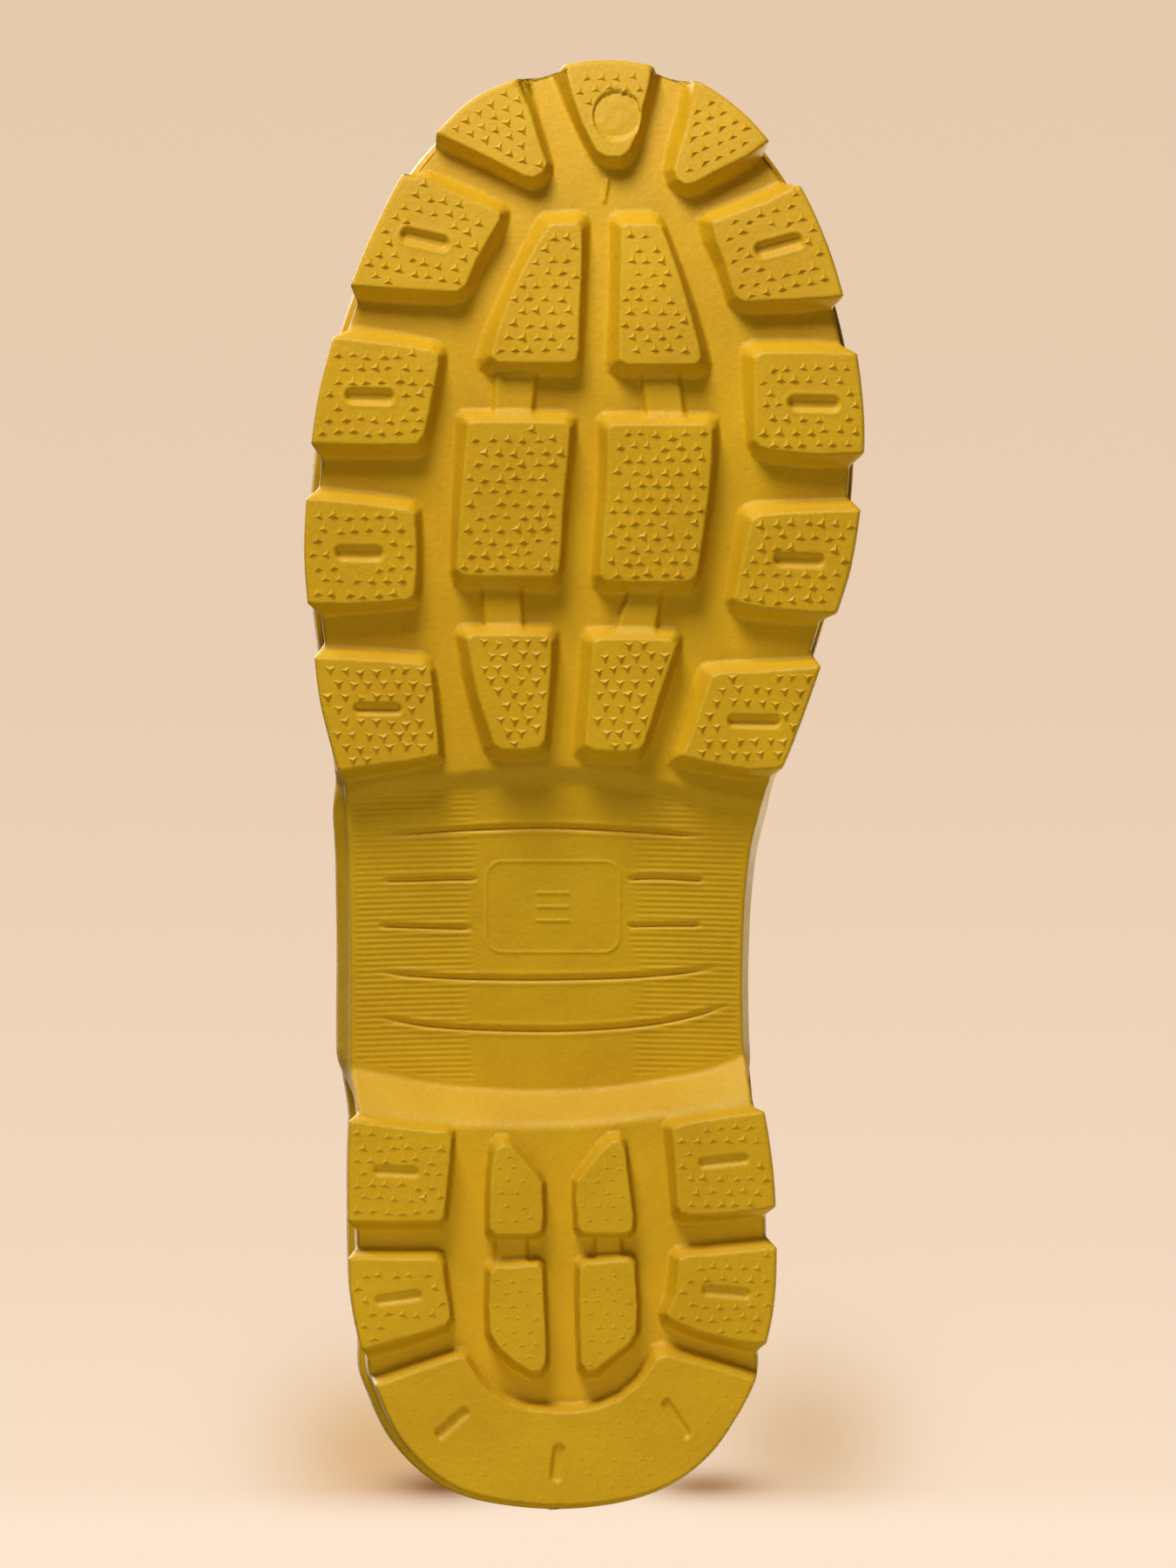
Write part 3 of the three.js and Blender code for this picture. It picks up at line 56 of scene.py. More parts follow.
LUGS = {
  "toe_centre": {"tread":[[-3.5,-135.0],[5.0,-136.2],[13.2,-135.0],[11.1,-127.2],[10.2,-122.6],[8.4,-119.0],[7.0,-118.0],[4.2,-118.0],[2.5,-119.0],[-0.1,-124.2],[-2.0,-129.9]],"root":[[-5.8,-133.7],[5.0,-136.2],[15.2,-133.4],[12.7,-125.0],[11.4,-120.6],[9.7,-117.0],[7.5,-115.5],[4.0,-115.5],[1.6,-117.0],[-0.7,-121.3],[-3.7,-127.8]]},
  "toe_left": {"tread":[[-12.2,-132.7],[-18.4,-129.4],[-23.4,-126.0],[-27.4,-122.4],[-18.4,-118.0],[-11.4,-114.4],[-9.7,-114.0],[-7.9,-114.9],[-7.1,-116.5],[-8.6,-120.9],[-9.9,-125.8]],"root":[[-10.1,-131.6],[-18.4,-129.8],[-23.4,-126.3],[-28.1,-119.3],[-18.4,-115.5],[-11.7,-112.1],[-9.6,-111.4],[-7.3,-112.2],[-5.7,-113.9],[-5.3,-116.0],[-6.6,-120.9],[-8.3,-126.7]]},
  "toe_right": {"tread":[[21.5,-131.9],[29.1,-127.2],[34.8,-120.9],[30.7,-118.1],[25.8,-115.7],[20.9,-113.1],[19.3,-112.7],[17.6,-113.7],[17.1,-115.5],[17.8,-118.0],[19.3,-122.6],[20.4,-127.5]],"root":[[18.9,-131.6],[29.1,-127.2],[34.7,-118.3],[32.0,-116.2],[29.1,-114.2],[22.7,-110.9],[20.1,-110.0],[17.5,-110.4],[15.5,-112.4],[14.8,-115.2],[15.6,-120.1],[17.3,-125.8]]},
  "edge_left_2": {"tread":[[-34.0,-114.5],[-29.9,-113.6],[-23.4,-110.3],[-17.5,-108.0],[-16.1,-107.2],[-16.1,-105.9],[-18.4,-102.1],[-20.7,-98.0],[-22.5,-93.7],[-24.0,-92.4],[-28.3,-92.6],[-36.5,-93.1],[-43.7,-93.6],[-39.7,-104.1]],"root":[[-32.9,-115.5],[-28.8,-115.5],[-20.9,-112.4],[-14.8,-109.5],[-13.4,-107.8],[-13.7,-105.9],[-15.5,-102.2],[-18.3,-97.7],[-20.7,-92.7],[-22.7,-90.3],[-25.0,-89.6],[-36.5,-90.1],[-44.3,-90.8],[-39.7,-104.1]]},
  "edge_right_2": {"tread":[[24.2,-105.5],[29.1,-107.3],[34.0,-109.1],[38.1,-111.3],[40.7,-112.2],[45.5,-102.1],[48.7,-91.6],[40.6,-91.1],[34.0,-90.8],[30.2,-90.6],[28.6,-91.4],[27.9,-93.1],[26.6,-98.0],[25.0,-102.1]],"root":[[20.9,-106.2],[22.5,-108.0],[26.6,-109.5],[32.4,-111.6],[38.1,-113.7],[40.9,-112.2],[45.5,-102.1],[48.4,-89.5],[40.6,-88.2],[32.4,-88.0],[28.4,-88.2],[26.6,-89.8],[25.8,-92.7],[24.2,-97.2],[21.9,-101.8]]},
  "edge_left_3": {"tread":[[-47.3,-83.6],[-41.4,-82.9],[-34.8,-82.1],[-28.9,-81.1],[-27.8,-80.3],[-27.9,-78.3],[-28.8,-74.2],[-29.7,-69.3],[-30.7,-65.2],[-31.9,-63.7],[-38.1,-63.6],[-44.7,-63.7],[-51.5,-63.9],[-50.4,-72.6]],"root":[[-46.5,-86.4],[-41.4,-86.0],[-34.8,-85.0],[-28.3,-83.7],[-26.1,-82.6],[-25.5,-80.3],[-26.3,-75.0],[-27.3,-69.1],[-28.6,-63.1],[-29.9,-61.3],[-31.9,-60.6],[-38.1,-60.6],[-51.0,-60.6],[-50.4,-72.6]]},
  "edge_right_3": {"tread":[[32.0,-79.8],[33.3,-80.8],[42.2,-80.9],[50.9,-80.6],[52.4,-70.1],[52.5,-62.1],[43.8,-61.8],[37.3,-62.4],[33.0,-63.2],[32.0,-64.4],[32.0,-70.1],[32.0,-75.0]],"root":[[28.9,-80.8],[29.6,-82.7],[31.7,-83.7],[40.6,-83.7],[49.9,-83.2],[52.4,-70.1],[51.5,-59.0],[40.6,-59.2],[34.0,-59.8],[31.4,-61.1],[30.2,-63.6],[29.7,-68.5],[29.1,-75.0]]},
  "edge_left_4": {"tread":[[-52.7,-53.3],[-47.9,-52.9],[-41.4,-52.3],[-33.5,-51.1],[-32.4,-50.3],[-32.0,-45.6],[-32.0,-39.0],[-32.5,-35.1],[-33.5,-34.4],[-38.1,-33.9],[-44.7,-33.6],[-52.0,-33.8],[-53.0,-42.3]],"root":[[-52.4,-56.0],[-47.9,-55.7],[-41.4,-55.1],[-34.5,-54.2],[-31.7,-53.4],[-30.4,-51.8],[-30.2,-45.6],[-30.2,-37.4],[-30.6,-33.8],[-31.9,-32.6],[-38.1,-32.0],[-44.7,-31.5],[-51.5,-30.8],[-53.0,-42.3]]},
  "edge_right_4": {"tread":[[31.4,-49.2],[33.0,-50.1],[37.3,-50.5],[43.8,-50.8],[51.4,-51.1],[50.1,-40.6],[47.4,-32.0],[40.6,-32.3],[34.0,-32.9],[29.1,-33.8],[28.1,-34.7],[29.1,-39.0],[30.2,-43.9]],"root":[[28.4,-50.8],[29.4,-52.4],[31.7,-53.3],[42.2,-53.6],[51.5,-53.9],[50.1,-40.6],[46.3,-29.3],[35.6,-29.7],[29.2,-30.6],[26.8,-32.0],[26.0,-34.1],[26.8,-39.0],[27.8,-45.6]]},
  "edge_left_5": {"tread":[[-51.2,-23.4],[-44.7,-23.1],[-36.5,-22.6],[-30.9,-22.1],[-29.4,-21.1],[-28.8,-16.1],[-28.1,-9.5],[-27.8,-5.2],[-33.2,-4.1],[-39.7,-3.3],[-46.6,-2.3],[-48.7,-9.5],[-50.2,-16.1]],"root":[[-51.4,-26.2],[-44.7,-25.9],[-36.5,-25.4],[-30.7,-24.9],[-28.8,-23.8],[-27.9,-21.6],[-27.1,-16.1],[-26.5,-9.5],[-26.0,-3.9],[-33.2,-2.0],[-39.7,-1.0],[-45.8,0.3],[-48.7,-9.5],[-50.2,-16.1]]},
  "edge_right_5": {"tread":[[24.0,-19.8],[25.5,-20.5],[30.7,-20.6],[37.3,-21.1],[44.3,-21.6],[40.6,-11.1],[37.1,-2.8],[30.7,-2.5],[24.2,-3.6],[18.3,-5.1],[19.6,-7.4],[20.9,-11.1],[22.5,-16.1]],"root":[[20.7,-20.6],[21.5,-22.3],[23.2,-22.9],[29.1,-23.3],[37.3,-23.6],[44.2,-24.1],[40.6,-11.1],[36.0,-0.8],[30.7,-0.3],[24.2,-1.3],[14.8,-2.9],[15.5,-6.2],[17.5,-11.1],[19.3,-16.1]]},
  "mid_left_1": {"tread":[[-6.6,-104.7],[-5.7,-105.0],[-1.4,-105.2],[-0.7,-104.2],[-0.7,-98.0],[-1.1,-89.8],[-1.4,-81.6],[-1.7,-79.5],[-2.9,-79.0],[-11.9,-79.0],[-16.5,-79.1],[-17.6,-80.3],[-16.3,-85.2],[-14.3,-90.6],[-11.9,-96.0],[-9.4,-100.6]],"root":[[-8.9,-106.7],[-7.5,-107.8],[-0.7,-108.0],[1.1,-107.3],[1.6,-105.4],[1.2,-98.0],[0.7,-89.8],[0.2,-81.6],[-0.2,-77.7],[-1.7,-76.2],[-11.9,-76.2],[-18.4,-76.5],[-20.4,-77.5],[-20.9,-79.6],[-19.3,-84.9],[-16.8,-90.6],[-13.7,-97.2],[-11.2,-102.2]]},
  "mid_right_1": {"tread":[[7.1,-104.5],[8.1,-105.0],[13.4,-105.0],[14.5,-104.4],[16.0,-100.4],[17.9,-94.7],[19.7,-88.2],[21.4,-81.6],[21.5,-79.6],[20.6,-78.7],[14.3,-78.7],[8.1,-78.7],[6.6,-79.5],[6.6,-84.9],[6.8,-93.1],[7.0,-99.6]],"root":[[4.5,-105.9],[5.2,-107.5],[6.8,-108.0],[13.0,-108.0],[14.8,-107.0],[16.0,-104.5],[18.6,-97.7],[21.1,-90.6],[23.4,-82.7],[24.5,-78.7],[23.5,-76.5],[20.9,-75.9],[14.3,-75.9],[6.1,-76.0],[4.0,-77.0],[3.5,-79.3],[4.2,-89.8],[4.5,-98.0]]},
  "mid_left_2": {"tread":[[-22.0,-67.5],[-20.9,-67.8],[-11.9,-67.8],[-4.0,-67.7],[-3.0,-66.9],[-3.4,-61.9],[-4.0,-55.4],[-4.5,-48.8],[-4.8,-42.3],[-5.2,-39.7],[-6.3,-38.7],[-11.9,-38.7],[-18.4,-38.8],[-23.0,-39.0],[-24.2,-40.0],[-23.7,-48.8],[-23.2,-55.4],[-22.5,-61.9]],"root":[[-24.7,-69.1],[-23.4,-70.6],[-11.9,-70.6],[-2.9,-70.3],[-1.1,-69.1],[-1.2,-65.2],[-1.9,-58.7],[-2.7,-52.1],[-3.2,-45.6],[-3.7,-39.8],[-4.5,-36.5],[-6.0,-35.4],[-11.9,-35.7],[-18.4,-36.0],[-23.4,-35.9],[-25.2,-37.0],[-25.6,-39.8],[-25.5,-48.8],[-25.2,-58.7]]},
  "mid_right_2": {"tread":[[4.3,-66.5],[5.3,-67.2],[14.3,-67.3],[22.5,-67.3],[23.8,-66.5],[23.7,-60.3],[23.0,-53.7],[22.2,-47.2],[21.2,-40.6],[20.7,-38.7],[19.6,-37.9],[14.3,-37.7],[9.4,-37.7],[4.0,-38.0],[2.9,-39.0],[3.4,-45.6],[4.0,-52.1],[4.3,-58.7]],"root":[[1.9,-68.5],[3.2,-70.1],[14.3,-70.1],[23.8,-70.0],[25.6,-68.8],[25.6,-65.2],[25.2,-58.7],[24.3,-52.1],[23.4,-45.6],[22.2,-39.0],[21.4,-36.4],[19.9,-35.1],[14.3,-35.2],[9.4,-35.4],[2.9,-35.2],[1.1,-36.4],[0.7,-39.0],[1.4,-47.2],[2.0,-55.4],[2.2,-61.9]]},
  "mid_left_3": {"tread":[[-22.2,-27.0],[-20.9,-27.7],[-11.9,-27.7],[-7.6,-27.5],[-6.5,-26.7],[-6.8,-19.3],[-7.3,-12.8],[-7.8,-7.9],[-8.8,-6.6],[-11.9,-6.2],[-15.5,-6.2],[-17.0,-7.0],[-18.4,-11.1],[-20.1,-16.1],[-21.2,-21.3]],"root":[[-24.8,-28.2],[-23.5,-30.2],[-11.9,-30.2],[-5.8,-30.2],[-4.5,-28.8],[-4.5,-25.9],[-5.0,-19.3],[-5.7,-12.8],[-6.3,-5.2],[-9.4,-3.9],[-13.5,-3.8],[-18.1,-4.3],[-19.6,-5.9],[-20.7,-9.5],[-22.2,-14.7],[-23.7,-21.0]]},
  "mid_right_3": {"tread":[[1.6,-26.2],[2.9,-26.9],[9.4,-26.9],[16.0,-26.7],[17.0,-25.7],[15.3,-20.6],[13.7,-16.1],[12.2,-11.1],[10.9,-7.2],[9.7,-6.1],[6.1,-5.9],[1.9,-6.1],[0.2,-7.0],[0.6,-13.6],[1.2,-20.2]],"root":[[-1.2,-27.5],[0.2,-29.7],[9.4,-29.7],[17.3,-29.5],[18.9,-28.0],[18.4,-25.1],[17.1,-20.6],[15.5,-15.6],[13.8,-10.3],[11.7,-4.9],[10.2,-3.4],[6.1,-3.3],[0.4,-3.4],[-2.7,-4.9],[-2.2,-12.8],[-1.6,-19.3]]},
  "heel_edge_left_1": {"tread":[[-44.5,63.7],[-38.1,64.6],[-31.5,65.5],[-26.3,65.9],[-25.3,67.0],[-25.8,72.4],[-26.3,77.3],[-26.8,81.8],[-27.8,82.6],[-36.5,82.7],[-44.7,82.6],[-44.8,74.1]],"root":[[-44.3,61.9],[-38.1,62.9],[-31.5,63.7],[-26.3,64.1],[-24.2,65.2],[-24.5,72.4],[-25.0,77.3],[-25.5,82.7],[-27.0,84.4],[-36.5,84.6],[-44.7,84.4],[-44.8,74.1]]},
  "heel_edge_right_1": {"tread":[[16.6,65.4],[17.6,64.6],[20.9,63.9],[27.4,62.9],[33.7,62.1],[35.1,70.8],[35.8,79.8],[27.4,81.1],[20.9,81.4],[18.3,81.1],[17.5,80.0],[17.1,72.4]],"root":[[14.3,64.6],[15.6,63.1],[20.9,62.1],[27.4,61.1],[33.2,60.3],[35.1,70.8],[35.8,81.6],[27.4,82.6],[20.9,83.2],[17.6,83.2],[16.0,81.6],[15.3,74.1]]},
  "heel_edge_left_2": {"tread":[[-44.7,89.6],[-36.5,89.8],[-28.3,89.8],[-27.1,90.6],[-26.5,95.4],[-25.8,98.6],[-25.6,100.9],[-26.6,102.2],[-31.5,103.7],[-36.5,105.0],[-42.4,106.7],[-44.2,97.0]],"root":[[-44.7,87.2],[-36.5,87.2],[-27.9,87.2],[-26.0,88.3],[-25.3,93.7],[-24.7,98.6],[-24.3,101.4],[-25.5,103.7],[-29.9,105.5],[-34.8,107.2],[-41.7,108.8],[-44.2,97.0]]},
  "heel_edge_right_2": {"tread":[[17.8,90.0],[19.3,89.3],[24.2,89.0],[30.7,88.3],[36.0,87.8],[35.5,98.6],[34.0,105.5],[29.1,105.2],[20.9,103.1],[16.0,100.9],[15.5,100.0],[17.0,96.7],[17.5,93.4]],"root":[[15.6,88.8],[16.8,87.0],[20.9,86.4],[27.4,85.7],[35.8,85.0],[35.5,98.6],[33.3,107.8],[29.1,107.2],[20.9,105.2],[14.3,102.4],[13.4,100.0],[14.8,96.0],[15.3,92.4]]},
  "heel_mid_left_1": {"tread":[[-17.0,69.5],[-15.6,68.3],[-14.2,68.7],[-11.9,71.0],[-9.3,73.9],[-8.3,75.7],[-8.1,82.3],[-8.4,84.4],[-9.4,85.0],[-13.5,85.2],[-16.8,85.2],[-17.9,84.1],[-17.9,77.3],[-17.6,72.4]],"root":[[-18.3,67.5],[-16.8,66.0],[-14.2,66.0],[-11.6,69.0],[-8.3,72.8],[-7.1,75.0],[-7.0,82.3],[-7.3,85.0],[-8.6,86.4],[-13.5,86.4],[-17.8,86.4],[-19.1,84.9],[-19.1,77.3],[-18.8,72.4]]},
  "heel_mid_right_1": {"tread":[[5.0,67.7],[6.5,67.7],[7.3,69.1],[8.1,75.7],[8.9,81.9],[8.8,84.1],[7.8,85.0],[3.7,85.0],[-0.1,85.0],[-1.2,84.1],[-1.7,79.0],[-1.6,75.2],[0.1,72.9],[2.9,69.5]],"root":[[4.3,65.7],[6.8,65.5],[8.1,67.2],[9.1,74.9],[9.9,82.3],[9.6,84.9],[8.4,86.0],[3.7,86.0],[-0.9,85.9],[-2.4,84.2],[-2.7,79.0],[-2.7,74.7],[-1.1,72.1],[2.2,67.7]]},
  "heel_mid_left_2": {"tread":[[-17.8,92.1],[-16.8,91.4],[-11.9,91.1],[-9.1,90.9],[-8.3,91.8],[-7.9,98.6],[-7.6,106.0],[-7.6,109.3],[-8.6,110.8],[-10.1,110.9],[-13.5,108.8],[-16.5,106.0],[-17.8,103.6],[-18.1,98.6]],"root":[[-19.1,90.8],[-18.1,89.6],[-11.9,89.1],[-8.4,89.0],[-7.1,90.1],[-6.8,98.6],[-6.5,106.8],[-6.6,110.4],[-7.9,112.4],[-10.2,112.7],[-14.3,110.4],[-17.6,107.2],[-19.1,103.9],[-19.3,98.6]]},
  "heel_mid_right_2": {"tread":[[-0.9,91.4],[0.1,90.6],[4.5,90.3],[7.9,90.0],[9.1,90.9],[9.6,98.6],[9.4,103.6],[7.9,105.9],[4.5,108.5],[2.0,110.4],[0.4,110.8],[-0.7,109.5],[-1.1,98.6]],"root":[[-2.2,90.1],[-1.1,88.8],[4.5,88.3],[8.4,88.0],[10.1,89.3],[10.7,98.6],[10.6,103.9],[8.9,106.8],[5.3,109.8],[2.4,112.4],[-0.1,112.7],[-1.7,110.8],[-2.2,98.6]]},
  "heel_horseshoe": {"tread":[[-39.6,113.7],[-31.5,110.8],[-24.3,108.3],[-22.9,108.5],[-22.0,109.8],[-20.2,112.6],[-17.9,115.0],[-14.7,117.0],[-11.1,118.1],[-6.1,118.6],[-2.0,118.6],[2.0,118.0],[6.5,116.3],[10.2,113.4],[12.4,110.3],[13.4,108.6],[15.2,108.1],[20.9,109.5],[25.8,110.8],[31.4,112.6],[31.7,113.4],[28.3,119.9],[23.5,126.5],[16.8,131.7],[7.8,134.9],[-3.7,136.2],[-15.2,135.3],[-23.4,133.1],[-29.9,129.0],[-35.6,122.4],[-39.4,114.2]],"root":[[-40.2,111.1],[-33.2,108.6],[-26.3,106.3],[-23.2,106.0],[-21.5,107.2],[-19.9,110.0],[-17.6,112.7],[-14.5,114.9],[-10.7,116.2],[-6.0,116.7],[-2.0,116.7],[1.9,116.0],[5.8,114.4],[9.1,111.3],[10.9,108.3],[12.2,105.7],[14.3,104.9],[17.1,105.4],[23.4,107.3],[30.9,109.8],[31.7,113.4],[28.3,119.9],[23.5,126.5],[16.8,131.7],[7.8,134.9],[-3.7,136.2],[-15.2,135.3],[-23.4,133.1],[-29.9,129.0],[-35.6,122.4],[-39.4,114.2]]}}
SLOTS = [[-30.1,-102.2,9.5,3.3,13],[36.6,-101.1,9.5,3.3,-15],[-40.7,-72.6,9.3,3.3,2],[43.0,-71.3,9.8,3.3,1],[-42.7,-43.1,9.3,3.3,1],[40.2,-41.8,9.8,3.1,1],[-39.2,-13.8,9.2,2.5,1],[31.7,-11.5,10.2,2.8,1],[-35.8,73.2,8.8,2.0,2],[26.0,71.3,9.8,2.0,-6],[-35.3,97.0,9.2,2.0,-8],[26.5,96.0,9.5,2.1,5],[-25.2,120.6,8.2,2.1,-41],[-5.3,128.1,7.4,2.5,97],[17.1,119.8,8.8,2.1,56]]
BARS = [[[-17.0,-77.5],[-8.8,-77.5],[-9.7,-68.8],[-17.6,-68.8]],[[10.4,-77.5],[17.9,-77.5],[19.1,-68.5],[11.4,-68.5]],[[-19.7,-37.4],[-11.9,-37.4],[-11.4,-28.3],[-19.1,-28.3]],[[8.1,-36.5],[14.8,-36.5],[13.5,-27.9],[5.2,-27.9]],[[-17.1,85.2],[-10.7,85.2],[-10.7,90.5],[-17.1,90.5]],[[1.7,84.9],[7.1,84.9],[7.1,89.8],[1.7,89.8]]]
FRONT_ARC = [[-45.8,2.3],[-38.1,0.3],[-31.5,-0.7],[-25.0,-1.6],[-18.4,-2.3],[-11.9,-2.6],[-5.3,-2.9],[1.2,-2.6],[7.8,-1.8],[14.3,-0.3],[20.9,1.3],[27.4,2.6],[34.5,3.9]]
BREAST_TOP = [[-44.7,53.9],[-36.5,55.5],[-28.3,57.0],[-20.1,57.8],[-11.9,58.3],[-3.7,58.2],[4.5,57.7],[12.7,56.5],[20.9,55.1],[25.8,53.7],[31.1,51.3]]
BREAST_FOOT = [[-45.0,61.9],[-38.1,62.8],[-31.5,63.6],[-26.3,64.1],[-18.4,64.4],[-11.9,64.6],[-5.3,64.4],[1.2,64.1],[7.8,63.4],[14.0,62.6],[20.9,62.1],[27.4,61.1],[34.0,60.0]]
GROOVES = [[[-39.4,10.2],[-31.5,9.5],[-25.0,9.0],[-18.4,8.7],[-8.6,8.4],[1.2,8.7],[11.1,9.3],[17.6,9.8],[23.8,10.3]],[[-38.4,18.5],[-31.5,18.4],[-25.0,18.2],[-19.6,18.2]],[[7.9,18.2],[14.3,18.0],[23.0,18.5]],[[-39.1,27.0],[-31.5,27.2],[-20.6,27.5]],[[7.9,27.0],[14.3,26.9],[22.5,26.9]],[[-39.9,35.6],[-31.5,36.4],[-20.6,36.9],[-5.3,37.0],[12.2,36.4],[26.1,34.9]],[[-39.9,44.1],[-33.2,45.2],[-24.2,46.2],[-5.3,46.7],[11.1,45.7],[20.9,43.9],[28.6,41.6]]]
TREAD_DEPTH, SLOT_DEPTH, BAR_PROUD, TOE_SPRING, SPRING_START = 4.5, 1.8, 1.5, 13.0, -55.0
WAIST_FRONT_Z, WAIST_REAR_Z, FORE_TOP, HEEL_LIFT = 6.2, 12.5, 9.0, 12.0
LIFT_START, LIFT_END, NOTCH_FORE, NOTCH_HEEL = -25.0, 58.0, 2.5, 1.9
TOP_LINE, COLLAR_TOP = 158.0, 165.0
FAN = (-95.0, COLLAR_TOP)

lo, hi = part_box("outsole")
SHIFT = np.array([(lo[0] + hi[0]) * 500 + 0.25, (lo[1] + hi[1]) * 500, lo[2] * 1000])

# ------------------------------------------------------------------ small maths
def smooth(a, b, v):
    t = np.clip((v - a) / (b - a), 0, 1)
    return t * t * (3 - 2 * t)
def mix(a, b, t): return a + (b - a) * t
def spring(y): return TOE_SPRING * (np.maximum(0, SPRING_START - y) / (136 + SPRING_START)) ** 2
def lift(y): return HEEL_LIFT * smooth(LIFT_START, LIFT_END, y)
def seat(y): return FORE_TOP + spring(y) + lift(y)
def curve_table(t):
    t = np.array(t, float); x, y = t[:, 0], t[:, 1]; n = len(x)
    m = np.array([(y[min(n - 1, i + 1)] - y[max(0, i - 1)]) / (x[min(n - 1, i + 1)] - x[max(0, i - 1)]) for i in range(n)])
    def f(v):
        v = np.clip(v, x[0], x[-1]); i = np.clip(np.searchsorted(x, v), 1, n - 1)
        h = x[i] - x[i - 1]; s = (v - x[i - 1]) / h
        return (y[i - 1] * (1 + 2 * s) * (1 - s) ** 2 + m[i - 1] * h * s * (1 - s) ** 2
                + y[i] * s * s * (3 - 2 * s) + m[i] * h * s * s * (s - 1))
    return f
def closed_spline(P, per=24):
    P = np.array(P, float); n = len(P); out = []
    for i in range(n):
        a, b, c, d = P[i - 1], P[i], P[(i + 1) % n], P[(i + 2) % n]
        for k in range(per):
            t = k / per
            out.append(0.5 * ((2 * b) + (c - a) * t + (2 * a - 5 * b + 4 * c - d) * t * t + (3 * b - a - 3 * c + d) * t ** 3))
    return np.array(out)
def open_spline(P, per=12):
    P = np.array(P, float); n = len(P); out = []
    for i in range(n - 1):
        a, b, c, d = P[max(0, i - 1)], P[i], P[i + 1], P[min(n - 1, i + 2)]
        for k in range(per):
            t = k / per
            out.append(0.5 * ((2 * b) + (c - a) * t + (2 * a - 5 * b + 4 * c - d) * t * t + (3 * b - a - 3 * c + d) * t ** 3))
    out.append(P[-1])
    return np.array(out)
def even_closed(C, count, start=0.0):
    C = np.vstack([C, C[:1]]); s = np.r_[0, np.cumsum(np.hypot(*np.diff(C, axis=0).T))]
    q = (np.linspace(0, s[-1], count, endpoint=False) + start) % s[-1]
    return np.c_[np.interp(q, s, C[:, 0]), np.interp(q, s, C[:, 1])]
def ring_normals(C, spread=1):  # outward normals of a loop that runs clockwise seen from above
    t = np.roll(C, -spread, 0) - np.roll(C, spread, 0)
    t /= np.maximum(1e-9, np.hypot(t[:, 0], t[:, 1]))[:, None]
    return np.c_[t[:, 1], -t[:, 0]]
class Sides:  # left and right X of an outline against Y
    def __init__(self, C):
        i, j = int(np.argmin(C[:, 1])), int(np.argmax(C[:, 1])); n = len(C)
        a = C[[(i + k) % n for k in range((j - i) % n + 1)]]; b = C[[(j + k) % n for k in range((i - j) % n + 1)]][::-1]
        if a[:, 0].mean() > b[:, 0].mean(): a, b = b, a
        self.l, self.r = self.mono(a), self.mono(b); self.y0, self.y1 = C[i, 1], C[j, 1]
    def mono(self, a):
        keep = np.r_[True, np.diff(np.maximum.accumulate(a[:, 1])) > 1e-9]
        return a[keep]
    def __call__(self, y):
        return np.interp(y, self.l[:, 1], self.l[:, 0]), np.interp(y, self.r[:, 1], self.r[:, 0])
def polygon_sdf(poly, X, Y):  # negative inside
    V = np.array(poly, float); n = len(V); d = np.full(X.shape, 1e18); sign = np.ones(X.shape)
    for i in range(n):
        j = i - 1
        ex, ey = V[j] - V[i]; wx, wy = X - V[i, 0], Y - V[i, 1]
        t = np.clip((wx * ex + wy * ey) / (ex * ex + ey * ey + 1e-12), 0, 1)
        d = np.minimum(d, (wx - ex * t) ** 2 + (wy - ey * t) ** 2)
        c1, c2, c3 = Y >= V[i, 1], Y < V[j, 1], ex * wy > ey * wx
        sign = np.where((c1 & c2 & c3) | (~c1 & ~c2 & ~c3), -sign, sign)
    return sign * np.sqrt(d)
def line_distance(P, X, Y):  # distance to an open line, and how far along it, 0 to 1
    P = np.array(P, float); best = np.full(X.shape, 1e18); along = np.zeros(X.shape)
    L = np.hypot(*np.diff(P, axis=0).T); S = np.r_[0, np.cumsum(L)]
    for i in range(len(P) - 1):
        ex, ey = P[i + 1] - P[i]; wx, wy = X - P[i, 0], Y - P[i, 1]
        t = np.clip((wx * ex + wy * ey) / (ex * ex + ey * ey), 0, 1)
        q = (wx - ex * t) ** 2 + (wy - ey * t) ** 2
        m = q < best; best = np.where(m, q, best); along = np.where(m, (S[i] + t * L[i]) / S[-1], along)
    return np.sqrt(best), along
def knee(f, a=0.30, b=0.08):  # 0..1 with a soft root and a crisper top
    f = np.clip(f, 0, 1); s = np.where(f < a, f * f / (2 * a), f - a / 2)
    s = np.where(f > 1 - b, 1 - a / 2 - b / 2 - (1 - f) ** 2 / (2 * b), s)
    return s / (1 - a / 2 - b / 2)
def value_noise(X, Y, cell, seed):  # smooth random heights, -1 to 1
    r = np.random.default_rng(seed); G = r.uniform(-1, 1, (97, 97))
    gx, gy = X / cell + 1000.37, Y / cell + 1000.71
    ix, iy = np.floor(gx).astype(int), np.floor(gy).astype(int); fx, fy = gx - ix, gy - iy
    fx, fy = fx * fx * (3 - 2 * fx), fy * fy * (3 - 2 * fy)
    g = lambda a, b: G[a % 97, b % 97]
    return mix(mix(g(ix, iy), g(ix + 1, iy), fx), mix(g(ix, iy + 1), g(ix + 1, iy + 1), fx), fy)

